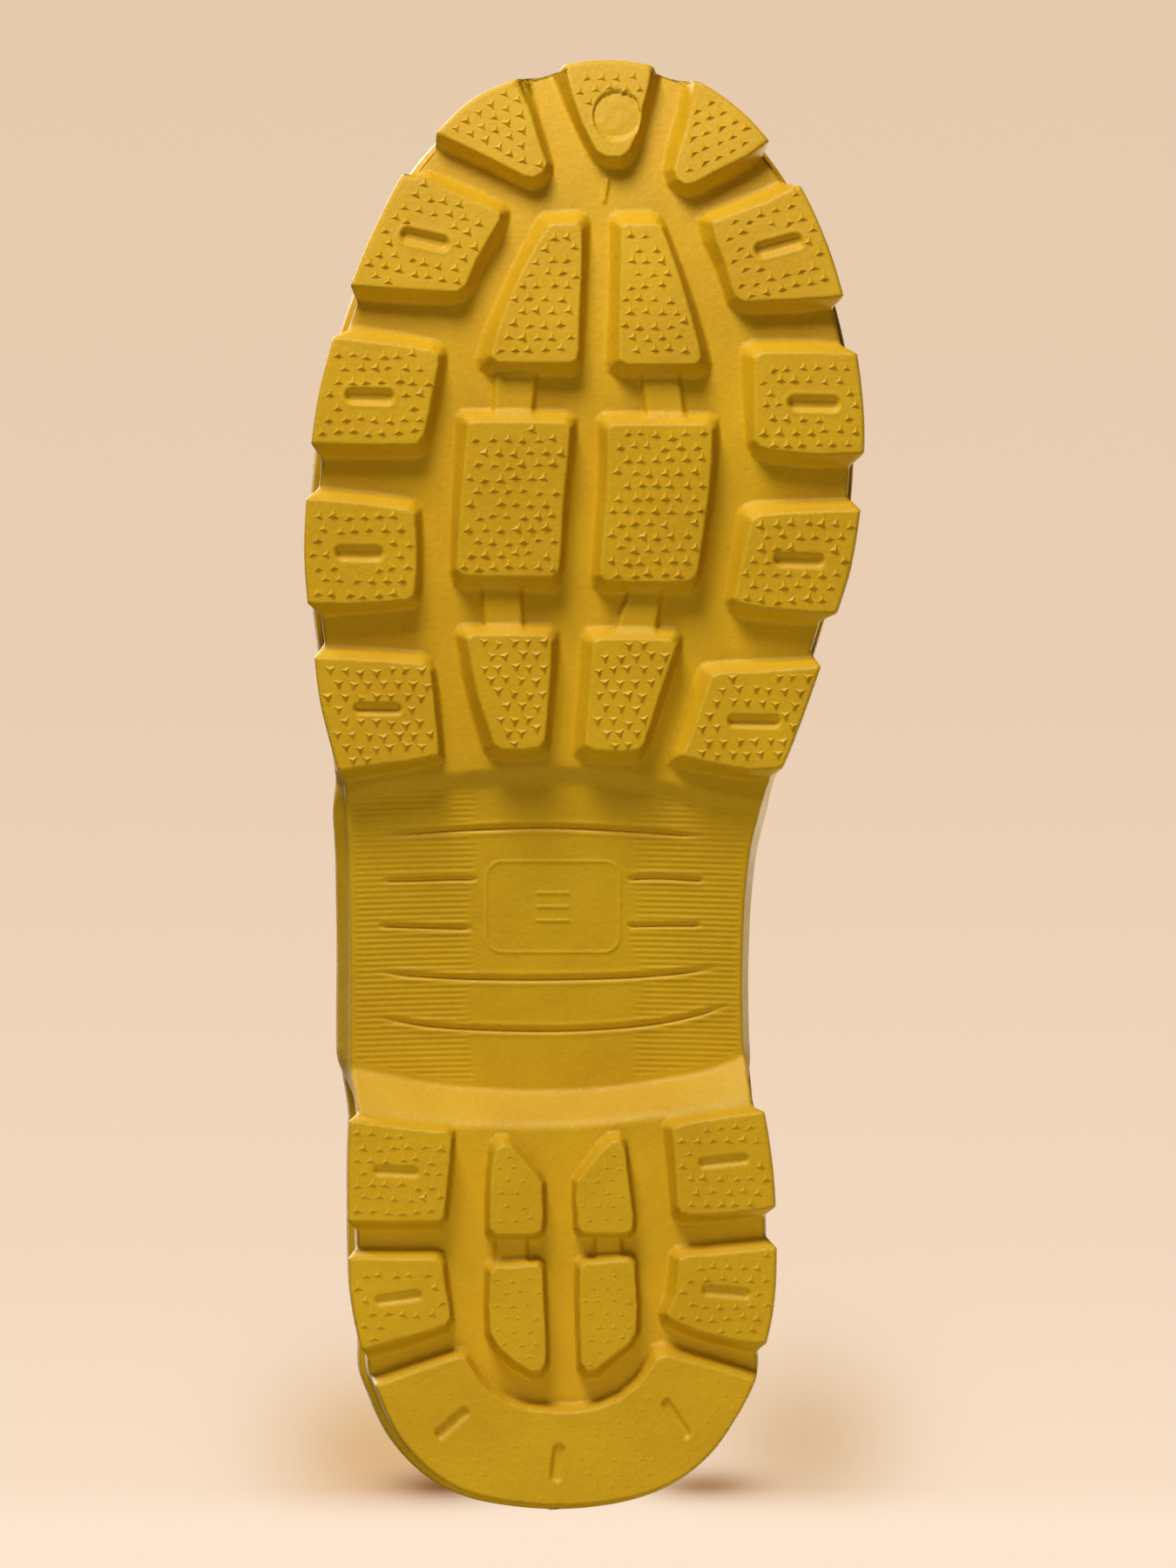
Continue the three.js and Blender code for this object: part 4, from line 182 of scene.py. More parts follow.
# ------------------------------------------------------------------ mesh making
def make(name, verts, quads=None, tris=None, mat=None, smooth_shade=True):
    verts = (np.asarray(verts, float).reshape(-1, 3) + SHIFT) * 0.001
    faces = []
    loops, starts, n = [], [], 0
    for arr, k in ((quads, 4), (tris, 3)):
        if arr is None or len(arr) == 0: continue
        arr = np.asarray(arr, np.int32).reshape(-1, k)
        loops.append(arr.ravel()); starts.append(n + np.arange(len(arr)) * k); n += arr.size
    loops, starts = np.concatenate(loops), np.concatenate(starts)
    me = bpy.data.meshes.new(name)
    me.vertices.add(len(verts)); me.vertices.foreach_set("co", verts.ravel())
    me.loops.add(len(loops)); me.loops.foreach_set("vertex_index", loops)
    me.polygons.add(len(starts)); me.polygons.foreach_set("loop_start", starts.astype(np.int32))
    me.update(calc_edges=True); me.validate()
    me.polygons.foreach_set("use_smooth", np.full(len(me.polygons), smooth_shade))
    ob = bpy.data.objects.new(name, me); bpy.context.scene.collection.objects.link(ob)
    if mat: me.materials.append(mat)
    return ob
def grid_quads(n, m, close_m=False, close_n=False, base=0, flip=False):
    i = np.arange(n if close_n else n - 1); j = np.arange(m if close_m else m - 1)
    I, J = np.meshgrid(i, j, indexing="ij"); I2, J2 = (I + 1) % n, (J + 1) % m
    q = np.stack([I * m + J, I * m + J2, I2 * m + J2, I2 * m + J], -1).reshape(-1, 4) + base
    return q[:, ::-1] if flip else q
def outward(ob):  # one closed piece: faces turned outwards
    bm = bmesh.new(); bm.from_mesh(ob.data); bmesh.ops.remove_doubles(bm, verts=bm.verts, dist=1e-7)
    bmesh.ops.recalc_face_normals(bm, faces=bm.faces); bm.to_mesh(ob.data); bm.free(); ob.data.update()
    return ob
def slab_piece(name, outer, inner, mat, close=False):
    """A patch of wall from two matching grids [n, m, 3], closed round its rim."""
    n, m = outer.shape[:2]; N = n * m; V = np.concatenate([outer.reshape(-1, 3), inner.reshape(-1, 3)])
    Q = [grid_quads(n, m, close), grid_quads(n, m, close, base=N, flip=True)]
    a = np.arange(m if close else m - 1); b = (a + 1) % m
    Q.append(np.stack([b, a, a + N, b + N], -1)); e = (n - 1) * m
    Q.append(np.stack([a + e, b + e, b + e + N, a + e + N], -1))
    if not close:
        r = np.arange(n - 1)
        Q.append(np.stack([r * m, (r + 1) * m, (r + 1) * m + N, r * m + N], -1))
        Q.append(np.stack([(r + 1) * m + m - 1, r * m + m - 1, r * m + m - 1 + N, (r + 1) * m + m - 1 + N], -1))
    return outward(make(name, V, np.concatenate(Q), mat=mat))
def sharpen(ob, deg=38):
    me = ob.data
    bm = bmesh.new(); bm.from_mesh(me)
    for e in bm.edges:
        e.smooth = not (len(e.link_faces) == 2 and e.calc_face_angle(0) > math.radians(deg))
    bm.to_mesh(me); bm.free()
    return ob

# ------------------------------------------------------------------ materials
def srgb(r, g, b):
    f = lambda c: (c / 255 / 12.92) if c <= 10 else ((c / 255 + 0.055) / 1.055) ** 2.4
    return (f(r), f(g), f(b), 1)
class Mat:
    def __init__(self, name):
        self.m = bpy.data.materials.new(name); self.m.use_nodes = True
        self.t = self.m.node_tree; self.n = self.t.nodes; self.b = self.n["Principled BSDF"]
        self.co = self.n.new("ShaderNodeTexCoord")
    def new(self, kind, **kw):
        n = self.n.new(kind)
        for k, v in kw.items(): setattr(n, k, v)
        return n
    def link(self, a, b): self.t.links.new(a, b)
    def noise(self, scale, detail=4, rough=0.55, distort=0.0, source="Object", stretch=None):
        n = self.new("ShaderNodeTexNoise"); n.inputs["Scale"].default_value = scale
        n.inputs["Detail"].default_value = detail; n.inputs["Roughness"].default_value = rough
        n.inputs["Distortion"].default_value = distort
        if stretch:
            mp = self.new("ShaderNodeMapping"); mp.inputs["Scale"].default_value = stretch
            self.link(self.co.outputs[source], mp.inputs["Vector"]); self.link(mp.outputs["Vector"], n.inputs["Vector"])
        else: self.link(self.co.outputs[source], n.inputs["Vector"])
        return n.outputs["Fac"]
    def ramp(self, fac, stops):
        r = self.new("ShaderNodeValToRGB"); e = r.color_ramp.elements
        while len(e) < len(stops): e.new(0.5)
        for k, (p, c) in enumerate(stops):
            e[k].position = p; e[k].color = c if len(c) == 4 else (*c, 1)
        self.link(fac, r.inputs["Fac"]); return r.outputs["Color"]
    def math(self, op, a, b=None, clamp=False):
        n = self.new("ShaderNodeMath", operation=op, use_clamp=clamp)
        for k, v in enumerate((a, b)):
            if v is None: continue
            if isinstance(v, (int, float)): n.inputs[k].default_value = v
            else: self.link(v, n.inputs[k])
        return n.outputs[0]
    def mixc(self, fac, a, b, mode="MIX"):
        n = self.new("ShaderNodeMix", data_type="RGBA", blend_type=mode)
        for s, v in ((0, fac), (6, a), (7, b)):
            if isinstance(v, (int, float)): n.inputs[s].default_value = v
            elif isinstance(v, tuple): n.inputs[s].default_value = v
            else: self.link(v, n.inputs[s])
        return n.outputs[2]
    def bump(self, height, dist, strength=1.0, after=None):
        n = self.new("ShaderNodeBump"); n.inputs["Distance"].default_value = dist
        n.inputs["Strength"].default_value = strength; self.link(height, n.inputs["Height"])
        if after is not None: self.link(after, n.inputs["Normal"])
        return n.outputs["Normal"]
    def xyz(self, source="Object"):
        s = self.new("ShaderNodeSeparateXYZ"); self.link(self.co.outputs[source], s.inputs[0]); return s.outputs
    def uvxyz(self):
        s = self.new("ShaderNodeSeparateXYZ"); self.link(self.co.outputs["UV"], s.inputs[0]); return s.outputs

def rubber(name, base, deep, pale, rough=0.5, grain=1.0, spec=0.35):
    """Moulded rubber: slow colour drift, fine mould grain, faint specks and scuffs."""
    m = Mat(name)
    drift = m.noise(38, 3); fine = m.noise(900, 3, 0.6); specks = m.noise(420, 2, 0.5)
    c = m.mixc(m.math("MULTIPLY", m.math("SUBTRACT", drift, 0.35, True), 1.1, True), deep, base)
    c = m.mixc(m.math("MULTIPLY", fine, 0.22), c, pale)
    sp = m.ramp(specks, [(0.70, (0, 0, 0)), (0.76, (1, 1, 1))])
    c = m.mixc(m.math("MULTIPLY", sp, 0.18), c, tuple(0.45 * v for v in deep[:3]) + (1,))
    m.link(c, m.b.inputs["Base Color"])
    r = m.math("ADD", m.math("MULTIPLY", m.noise(120, 4), 0.22), rough - 0.1)
    m.link(r, m.b.inputs["Roughness"])
    m.b.inputs["Specular IOR Level"].default_value = spec
    m.b.inputs["Subsurface Weight"].default_value = 0.0
    n1 = m.bump(fine, 0.00012 * grain, 0.8)
    n2 = m.bump(m.noise(300, 4, 0.6), 0.00022 * grain, 0.6, n1)
    m.link(n2, m.b.inputs["Normal"])
    return m.m
def cloth(name, base, dark, scale=1400, rough=0.85, ribs=None, sheen=0.3):
    """Woven or knitted textile in object space; the ribs argument is not used."""
    m = Mat(name); x, y, z = m.xyz()[0], m.xyz()[1], m.xyz()[2]
    s = lambda v, k, ph=0.0: m.math("SINE", m.math("ADD", m.math("MULTIPLY", v, k), ph))
    weave = m.math("MULTIPLY", s(m.math("ADD", x, y), scale * 2.2), s(z, scale * 2.2))
    weave = m.math("ADD", m.math("MULTIPLY", weave, 0.5), 0.5)
    nz = m.noise(500, 3)
    f = m.math("ADD", m.math("MULTIPLY", weave, 0.6), m.math("MULTIPLY", nz, 0.5))
    c = m.mixc(m.math("MULTIPLY", f, 0.9, True), dark, base)
    c = m.mixc(m.math("MULTIPLY", m.noise(30, 2), 0.25), c, tuple(0.8 * v for v in base[:3]) + (1,))
    m.link(c, m.b.inputs["Base Color"]); m.b.inputs["Roughness"].default_value = rough
    m.b.inputs["Sheen Weight"].default_value = sheen; m.b.inputs["Specular IOR Level"].default_value = 0.2
    m.link(m.bump(f, 0.00025, 0.6), m.b.inputs["Normal"])
    return m.m

SOLE_BASE, SOLE_DEEP, SOLE_PALE = (0.700, 0.412, 0.0035, 1), (0.50, 0.250, 0.0012, 1), (0.82, 0.575, 0.022, 1)
MAT_SOLE = rubber("sole_rubber", SOLE_BASE, SOLE_DEEP, SOLE_PALE, 0.56, 1.0, 0.4)
MAT_UPPER = rubber("upper_rubber", SOLE_BASE, SOLE_DEEP, SOLE_PALE, 0.42, 0.6, 0.4)
MAT_RAND = rubber("rand_rubber", SOLE_BASE, SOLE_DEEP, SOLE_PALE, 0.5, 0.8, 0.35)

# ------------------------------------------------------------------ outlines
ENV = closed_spline(ENVELOPE, 24)
ENV = even_closed(ENV, 2400)
NRM = ring_normals(ENV, 6)
if (NRM * (ENV - ENV.mean(0))).sum() < 0: NRM = -NRM
def notch(y):
    return np.where(y < 30, NOTCH_FORE * (1 - smooth(-12, 8, y)),
                    NOTCH_HEEL * smooth(52, 64, y) * (1 - smooth(104, 112, y)))
SIDEWALL = ENV - NRM * notch(ENV[:, 1])[:, None]
SW_N = ring_normals(SIDEWALL, 8)
if (SW_N * (SIDEWALL - SIDEWALL.mean(0))).sum() < 0: SW_N = -SW_N
ENV_SIDES, SW_SIDES = Sides(ENV), Sides(SIDEWALL)
FEATHER = SIDEWALL - SW_N * 3.6
FE_SIDES = Sides(FEATHER)

# ------------------------------------------------------------------ tread heights
def near_edge(P): return polygon_sdf(ENV[::12], P[:, 0], P[:, 1])
def run_out(poly, tol):
    """Outline points on the boot's edge are pushed past it, so a lug runs off the edge."""
    P = np.array(poly, float); on = near_edge(P) > -tol; Q = P.copy(); n = len(P)
    for i in range(n):
        if not on[i]: continue
        a, b = P[i - 1], P[(i + 1) % n]
        if on[i - 1] and not on[(i + 1) % n]: d = P[i] - b
        elif on[(i + 1) % n] and not on[i - 1]: d = P[i] - a
        else:
            k = int(np.argmin(((ENV - P[i]) ** 2).sum(1))); d = NRM[k]
        d = d / max(1e-9, np.hypot(*d)); k = int(np.argmin(((ENV - P[i]) ** 2).sum(1)))
        if d @ NRM[k] < 0.5: d = (d + NRM[k]); d /= np.hypot(*d)
        Q[i] = P[i] + d * 7
    return Q
LUG_T = {k: run_out(v["tread"], 1.3) for k, v in LUGS.items()}
LUG_R = {k: run_out(v["root"], 2.3) for k, v in LUGS.items()}
def lug_fraction(X, Y):
    F = np.zeros(X.shape)
    for k in LUGS:
        T, R = LUG_T[k], LUG_R[k]
        a, b = np.minimum(T.min(0), R.min(0)) - 0.5, np.maximum(T.max(0), R.max(0)) + 0.5
        m = (X > a[0]) & (X < b[0]) & (Y > a[1]) & (Y < b[1])
        if not m.any(): continue
        x, y = X[m], Y[m]; dt, dr = polygon_sdf(T, x, y), -polygon_sdf(R, x, y)
        f = np.where(dt <= 0, 1.0, np.where(dr <= 0, 0.0, dr / np.maximum(1e-6, dr + dt)))
        F[m] = np.maximum(F[m], f)
    return F
def table(T, x):
    T = np.array(T, float); return np.interp(x, T[:, 0], T[:, 1])
FA, BT, BF = open_spline(FRONT_ARC), open_spline(BREAST_TOP), open_spline(BREAST_FOOT)
def base_height(X, Y):
    z0 = TREAD_DEPTH + spring(Y)
    a, b, c = table(FA, X), table(BT, X), table(BF, X)
    slope = (WAIST_REAR_Z - WAIST_FRONT_Z) / np.maximum(1, b - a - 2)
    waist = WAIST_FRONT_Z + slope * np.clip(Y - a - 2, 0, None)
    step = TREAD_DEPTH + (WAIST_FRONT_Z - TREAD_DEPTH) * smooth(-0.6, 3.2, Y - a)
    breast = TREAD_DEPTH + (WAIST_REAR_Z - TREAD_DEPTH) * (c - Y) / np.maximum(1, c - b)
    w = np.minimum(np.where(Y < a + 3.2, step, waist), 60)
    k = 1.1; h = np.clip(0.5 + 0.5 * (breast - w) / k, 0, 1)   # soft minimum at the breast's top edge
    w = mix(breast, w, h) - k * h * (1 - h)
    k = 1.6; h = np.clip(0.5 + 0.5 * (w - TREAD_DEPTH) / k, 0, 1)
    w2 = mix(TREAD_DEPTH, w, h) + k * h * (1 - h)
    return np.where((Y > a - 0.6) & (Y < c + 3), np.where(Y > b - 4, w2, w), z0)
def tread_detail(X, Y, F):
    """Slots and bars: added to Z, + is inwards."""
    d = np.zeros(X.shape)
    for cx, cy, l, w, deg in SLOTS:
        m = (abs(X - cx) < 8) & (abs(Y - cy) < 8)
        if not m.any(): continue
        a = math.radians(deg); u = (X[m] - cx) * math.cos(a) + (Y[m] - cy) * math.sin(a)
        v = -(X[m] - cx) * math.sin(a) + (Y[m] - cy) * math.cos(a); fore = cy < 40; w = w * (0.88 if fore else 1.05); r = w * 0.48
        qx, qy = abs(u) - l / 2 + r, abs(v) - w / 2 + r
        s = np.hypot(np.maximum(qx, 0), np.maximum(qy, 0)) + np.minimum(np.maximum(qx, qy), 0) - r
        d[m] += (1.15 if fore else 0.7) * smooth(0.22, -0.85, s) - 0.10 * np.exp(-((s - 0.45) / 0.35) ** 2)
    for bar in BARS:
        P = np.array(bar); a, b = P.min(0) - 1.5, P.max(0) + 1.5
        m = (X > a[0]) & (X < b[0]) & (Y > a[1]) & (Y < b[1])
        if m.any():
            s = polygon_sdf(P, X[m], Y[m]); d[m] -= BAR_PROUD * knee((-s + 0.5) / 1.3, 0.45, 0.35) * (1 - F[m])
    return d
def waist_detail(X, Y):
    a, b = table(FA, X), table(BT, X)
    zone = smooth(0.8, 2.4, Y - a) * smooth(1.0, 2.0, b - Y)
    u = (X - SHIFT[0])
    n = value_noise(X, Y, 3.0, 5)
    side = np.maximum(1 - smooth(-22.5, -20.0, X + 1.2 * n), smooth(8.2, 11.5, X + 1.2 * n))
    edge_l, edge_r = ENV_SIDES(Y)
    side = side * smooth(0.6, 1.8, X - edge_l) * smooth(0.6, 1.8, edge_r - X)
    ph = 2 * math.pi * (Y - 0.010 * (X + 5) ** 2 * 0.05) / 1.07
    ribs = 0.13 * (0.5 + 0.5 * np.cos(ph)) ** 1.3
    mid_top = (1 - smooth(0.2, 1.0, abs((Y - a) - 5) / 5)) * smooth(-30, -22, X) * (1 - smooth(8, 16, X))
    d = ribs * np.clip(side, 0, 1) * zone
    for g in GROOVES:
        P = open_spline(g, 5); lo_, hi_ = P.min(0) - 2, P.max(0) + 2
        m = (X > lo_[0]) & (X < hi_[0]) & (Y > lo_[1]) & (Y < hi_[1])
        if not m.any(): continue
        q, t = line_distance(P, X[m], Y[m]); taper = smooth(0, 0.12, t) * smooth(0, 0.12, 1 - t)
        d[m] = d[m] * (1 - smooth(0.9, 0.3, q) * taper) + 0.75 * taper * np.exp(-(q / 0.42) ** 2) - 0.12 * taper * np.exp(-((q - 1.0) / 0.45) ** 2)
    # plaque: a raised rounded line round a smooth field with plain bars
    x0, y0, x1, y1 = [-18.4,14.9,6.8,32.0]
    cx, cy, hx, hy, r = (x0 + x1) / 2, (y0 + y1) / 2, (x1 - x0) / 2, (y1 - y0) / 2, 3.0
    qx, qy = abs(X - cx) - hx + r, abs(Y - cy) - hy + r
    s = np.hypot(np.maximum(qx, 0), np.maximum(qy, 0)) + np.minimum(np.maximum(qx, qy), 0) - r
    d = np.where(s < 0.3, 0, d)
    d -= 0.16 * np.exp(-(s / 0.28) ** 2)
    for k, w in ((-2.6, 6.2), (0.0, 6.2), (2.6, 6.2)):
        qx, qy = abs(X - cx) - w / 2, abs(Y - cy - k)
        d -= 0.16 * smooth(0.45, 0.15, qy) * smooth(0.3, -0.2, qx)
    return d
GATE = (6.3, -125.7, 4.6)
def gate_detail(X, Y):
    d = np.zeros(X.shape); gx, gy, gr = GATE
    m = (abs(X - gx) < 8) & (abs(Y - gy) < 8)
    x, y = X[m] - gx, Y[m] - gy; ang = np.arctan2(y, x); rr = np.hypot(x, y)
    rag = np.exp(-((ang + 0.9) / 0.7) ** 2); R = gr * (1 + 0.012 * np.sin(3 * ang + 1)) + rag * 0.5 * value_noise(x * 4, y * 4, 3, 3)
    s = rr - R
    q = 0.5 * smooth(0.12, -0.25, s) + 0.05 * value_noise(x, y, 1.2, 9) * (s < 0) + 0.10 * smooth(-2.5, 0, s) * (s < 0)
    q -= 0.10 * np.exp(-((s - 0.15) / 0.2) ** 2) * (np.sin(ang * 2 + 2.2) > 0)
    d[m] = q
    nb, t = line_distance([(4.5, -113.4), (3.9, -109.6)], X, Y)
    return d - 0.85 * np.exp(-(nb / 0.40) ** 2) * (1 - 0.4 * t)

def rows_of():
    y0, y1 = ENV_SIDES.y0 + 0.02, ENV_SIDES.y1 - 0.02
    parts = [y0 + (np.linspace(0, 1, 26) ** 1.8) * 5, np.arange(y0 + 5.3, 1.0, 0.37), np.arange(1.0, 57.5, 0.19),
             np.arange(57.7, y1 - 5.2, 0.37), (y1 - (np.linspace(0, 1, 26) ** 1.8) * 5)[::-1]]
    return np.unique(np.round(np.concatenate(parts), 4))
def build_outsole():
    ys = rows_of(); n = len(ys)
    e = np.array([0, 0.10, 0.22, 0.36, 0.54, 0.76, 1.02]); M = 292; m = M + 2 * len(e)
    L, R = ENV_SIDES(ys)
    W = (R - L)[:, None]; inner = np.linspace(0, 1, M + 2)[None, 1:-1]
    k = np.minimum(1.0, W / 12.0)
    edge = e[None, :] * k; last = 1.35 * k
    U = np.concatenate([edge, last + (W - 2 * last) * (np.linspace(0, 1, M)[None, :]), W - edge[:, ::-1]], 1)
    X0 = L[:, None] + U; Y0 = np.repeat(ys[:, None], m, 1)
    # the border ring: left side, heel end, right side, toe end
    idx = np.concatenate([np.arange(n) * m, (n - 1) * m + np.arange(1, m - 1), (np.arange(n)[::-1]) * m + m - 1, np.arange(1, m - 1)[::-1]])
    ring = np.c_[X0.ravel()[idx], Y0.ravel()[idx]]
    # normals from the nearest outline point
    s_env = np.array([np.argmin((ENV[:, 0] - p[0]) ** 2 + (ENV[:, 1] - p[1]) ** 2) for p in ring])
    rn = NRM[s_env]; Fr = knee(lug_fraction(ring[:, 0], ring[:, 1]), 0.3, 0.1)
    nt = notch(ring[:, 1]); D = -rn * (nt * (1 - Fr))[:, None]
    DX, DY = np.zeros(X0.size), np.zeros(X0.size)
    # carry the border's shift a few millimetres inwards along the rows
    left, right = np.arange(n), 2 * n + m - 2 - 1 - np.arange(n)
    ringpos = {int(v): i for i, v in enumerate(idx)}
    li = np.array([ringpos[int(r * m)] for r in range(n)]); ri = np.array([ringpos[int(r * m + m - 1)] for r in range(n)])
    wl = np.clip(1 - U / 5.0, 0, 1) ** 2; wr = np.clip(1 - (W - U) / 5.0, 0, 1) ** 2
    X = X0 + wl * D[li, 0][:, None] + wr * D[ri, 0][:, None]; Y = Y0 + wl * D[li, 1][:, None] + wr * D[ri, 1][:, None]
    for row, sel in ((0, slice(1, m - 1)), (n - 1, slice(1, m - 1))):
        rr = np.array([ringpos[int(row * m + j)] for j in range(1, m - 1)])
        X[row, sel] = X0[row, sel] + D[rr, 0]; Y[row, sel] = Y0[row, sel] + D[rr, 1]
    F = lug_fraction(X, Y); S = knee(F)
    Z = mix(base_height(X, Y), spring(Y) * 1.0, S)
    Z = Z + tread_detail(X, Y, S)
    wz = (Y > 0) & (Y < 60)
    d = np.zeros(X.shape); d[wz] = waist_detail(X[wz], Y[wz]); Z = Z + d * (1 - S)
    g = (Y < -105); d = np.zeros(X.shape); d[g] = gate_detail(X[g], Y[g]); Z = Z + d
    Z = Z + 0.035 * value_noise(X, Y, 6.0, 2) * smooth(0.2, 1.5, np.minimum(U, W - U))
    Z = np.maximum(Z, 0.0)
    # rounded lower edge
    ring2 = np.c_[X.ravel()[idx], Y.ravel()[idx]]
    near = np.minimum(U, W - U) < 3.0; near[:14] = True; near[-14:] = True
    px, py = X[near], Y[near]; dist = np.full(px.shape, 1e9); step = 1
    seg = ring2[::step]; nx = np.roll(seg, -1, 0)
    order = np.argsort(py); chunk = 4000
    for c in range(0, len(px), chunk):
        sel = order[c:c + chunk]; ya, yb = py[sel].min() - 3, py[sel].max() + 3
        ms = (seg[:, 1] > ya) & (seg[:, 1] < yb); A, B = seg[ms], nx[ms]
        if len(A) == 0: continue
        E = B - A; wx = px[sel][:, None] - A[None, :, 0]; wy = py[sel][:, None] - A[None, :, 1]
        t = np.clip((wx * E[:, 0] + wy * E[:, 1]) / (np.maximum(1e-12, (E ** 2).sum(1))), 0, 1)
        dist[sel] = np.sqrt(((wx - E[:, 0] * t) ** 2 + (wy - E[:, 1] * t) ** 2).min(1))
    r = 0.75; dd = np.clip(dist, 0, r); Z[near] += r - np.sqrt(np.maximum(0, r * r - (r - dd) ** 2))
    V = [np.stack([X, Y, Z], -1).reshape(-1, 3)]
    Q = [grid_quads(n, m)]
    # side wall: rings from the tread's edge up to the seat
    K = 15; base = n * m; z0 = Z.ravel()[idx]; ground = spring(ring2[:, 1]); top = seat(ring2[:, 1])
    envp = ring2 - D  # back on the envelope
    levels = []
    for q in range(1, K + 1):
        z = mix(z0, top, (q / K))
        rise = z - ground
        back = nt * np.maximum(1 - Fr, smooth(4.2, 10.5, rise)) + 0.25 * Fr * smooth(0.5, 4.5, rise)
        flare = np.where(rn[:, 0] < 0, 2.3, 1.3) * smooth(-10, 6, ring2[:, 1]) * (1 - smooth(50, 60, ring2[:, 1])) * smooth(0.0, 0.75, q / K)
        levels.append(np.c_[envp - rn * (back - flare)[:, None], z])
    V += levels; N = len(idx); prev = idx
    for q in range(K):
        cur = base + q * N + np.arange(N)
        Q.append(np.stack([prev, np.roll(prev, -1), np.roll(cur, -1), cur], -1)); prev = cur
    # closed top, row by row
    li2, ri2 = prev[li], prev[ri]
    Q.append(np.stack([li2[:-1], ri2[:-1], ri2[1:], li2[1:]], -1))
    T = []
    for row in (0, n - 1):
        rr = np.array([ringpos[int(row * m + j)] for j in range(m)]); c = prev[rr]
        for j in range(1, m - 1): T.append((c[0], c[j], c[j + 1]))
    ob = make("outsole_moulding", np.concatenate(V), np.concatenate(Q), T, MAT_SOLE)
    return outward(ob)
OUTSOLE = build_outsole()

# three-legged grip points on the treads
def build_stars():
    V, T = [], []; r = np.random.default_rng(11)
    for name, lug in LUGS.items():
        if name == "heel_horseshoe": amp = 0.05
        elif name.startswith("heel_mid"): amp = 0.13
        elif name.startswith("heel"): amp = 0.30
        else: amp = 0.50
        P = np.array(lug["tread"]); a, b = P.min(0), P.max(0)
        tilt = {"toe_left": 24, "toe_right": -24, "edge_left_2": 12, "edge_right_2": -14, "heel_mid_left_2": 0}.get(name, 0)
        t = math.radians(tilt); ct, st = math.cos(t), math.sin(t); c = P.mean(0)
        pitch_x, pitch_y = 2.85, 2.4
        for i in range(-16, 17):
            for j in range(-14, 15):
                u = (j + 0.5 * (i % 2)) * pitch_x + r.normal(0, 0.20); v = i * pitch_y + r.normal(0, 0.16) + 0.22 * math.sin(j * 1.3 + i)
                x, y = c[0] + u * ct - v * st, c[1] + u * st + v * ct
                k = r.random()
                if not (a[0] < x < b[0] and a[1] < y < b[1]): continue
                if polygon_sdf(P, np.array([x]), np.array([y]))[0] > -0.85: continue
                if near_edge(np.array([[x, y]]))[0] > -1.3: continue
                if any(abs(x - sx) < sl / 2 + 0.7 and abs(y - sy) < sw / 2 + 0.75 + abs(math.sin(math.radians(sd))) * sl / 2 for sx, sy, sl, sw, sd in SLOTS): continue
                if math.hypot(x - GATE[0], y - GATE[1]) < GATE[2] + 0.5: continue
                if k > 0.985: continue
                size = (1.10 + 0.32 * r.random()) * (1.0 if amp > 0.25 else 0.8); h = amp * (0.75 + 0.45 * r.random())
                turn = math.radians(-90 + (0 if y < -28 else 180) * (1 if amp > 0.3 else 0) + tilt + r.normal(0, 9)); z = float(spring(np.array(y))) ; n = len(V)
                slope = float(spring(np.array(y + 0.5)) - spring(np.array(y - 0.5)))
                V.append((x, y, z - h))
                for q in range(6):
                    aq = turn + q * math.pi / 3; rad = size * (1.0 if q % 2 == 0 else 0.46)
                    px, py = x + math.cos(aq) * rad, y + math.sin(aq) * rad
                    V.append((px, py, z + slope * (py - y) + (0.03 if q % 2 == 0 else 0.05)))
                for q in range(3):   # a short ridge out along each leg
                    aq = turn + q * 2 * math.pi / 3; px, py = x + math.cos(aq) * size * 0.5, y + math.sin(aq) * size * 0.5
                    V.append((px, py, z + slope * (py - y) - h * 0.42))
                V.append((x, y, z + 0.35))
                for q in range(6):
                    s0, s1 = n + 1 + q, n + 1 + (q + 1) % 6; ridge = n + 7 + (q // 2 if q % 2 == 0 else ((q + 1) // 2) % 3)
                    T.append((n, ridge, s1 if q % 2 == 0 else s0)); T.append((ridge, s0, s1)) ; T.append((n + 10, s1, s0))
    ob = make("tread_grip_points", V, None, T, MAT_SOLE, False)
    bm = bmesh.new(); bm.from_mesh(ob.data); bmesh.ops.recalc_face_normals(bm, faces=bm.faces); bm.to_mesh(ob.data); bm.free()
    return ob
STARS = build_stars()
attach(OUTSOLE, "boot"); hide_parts("outsole")
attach(STARS, "boot")

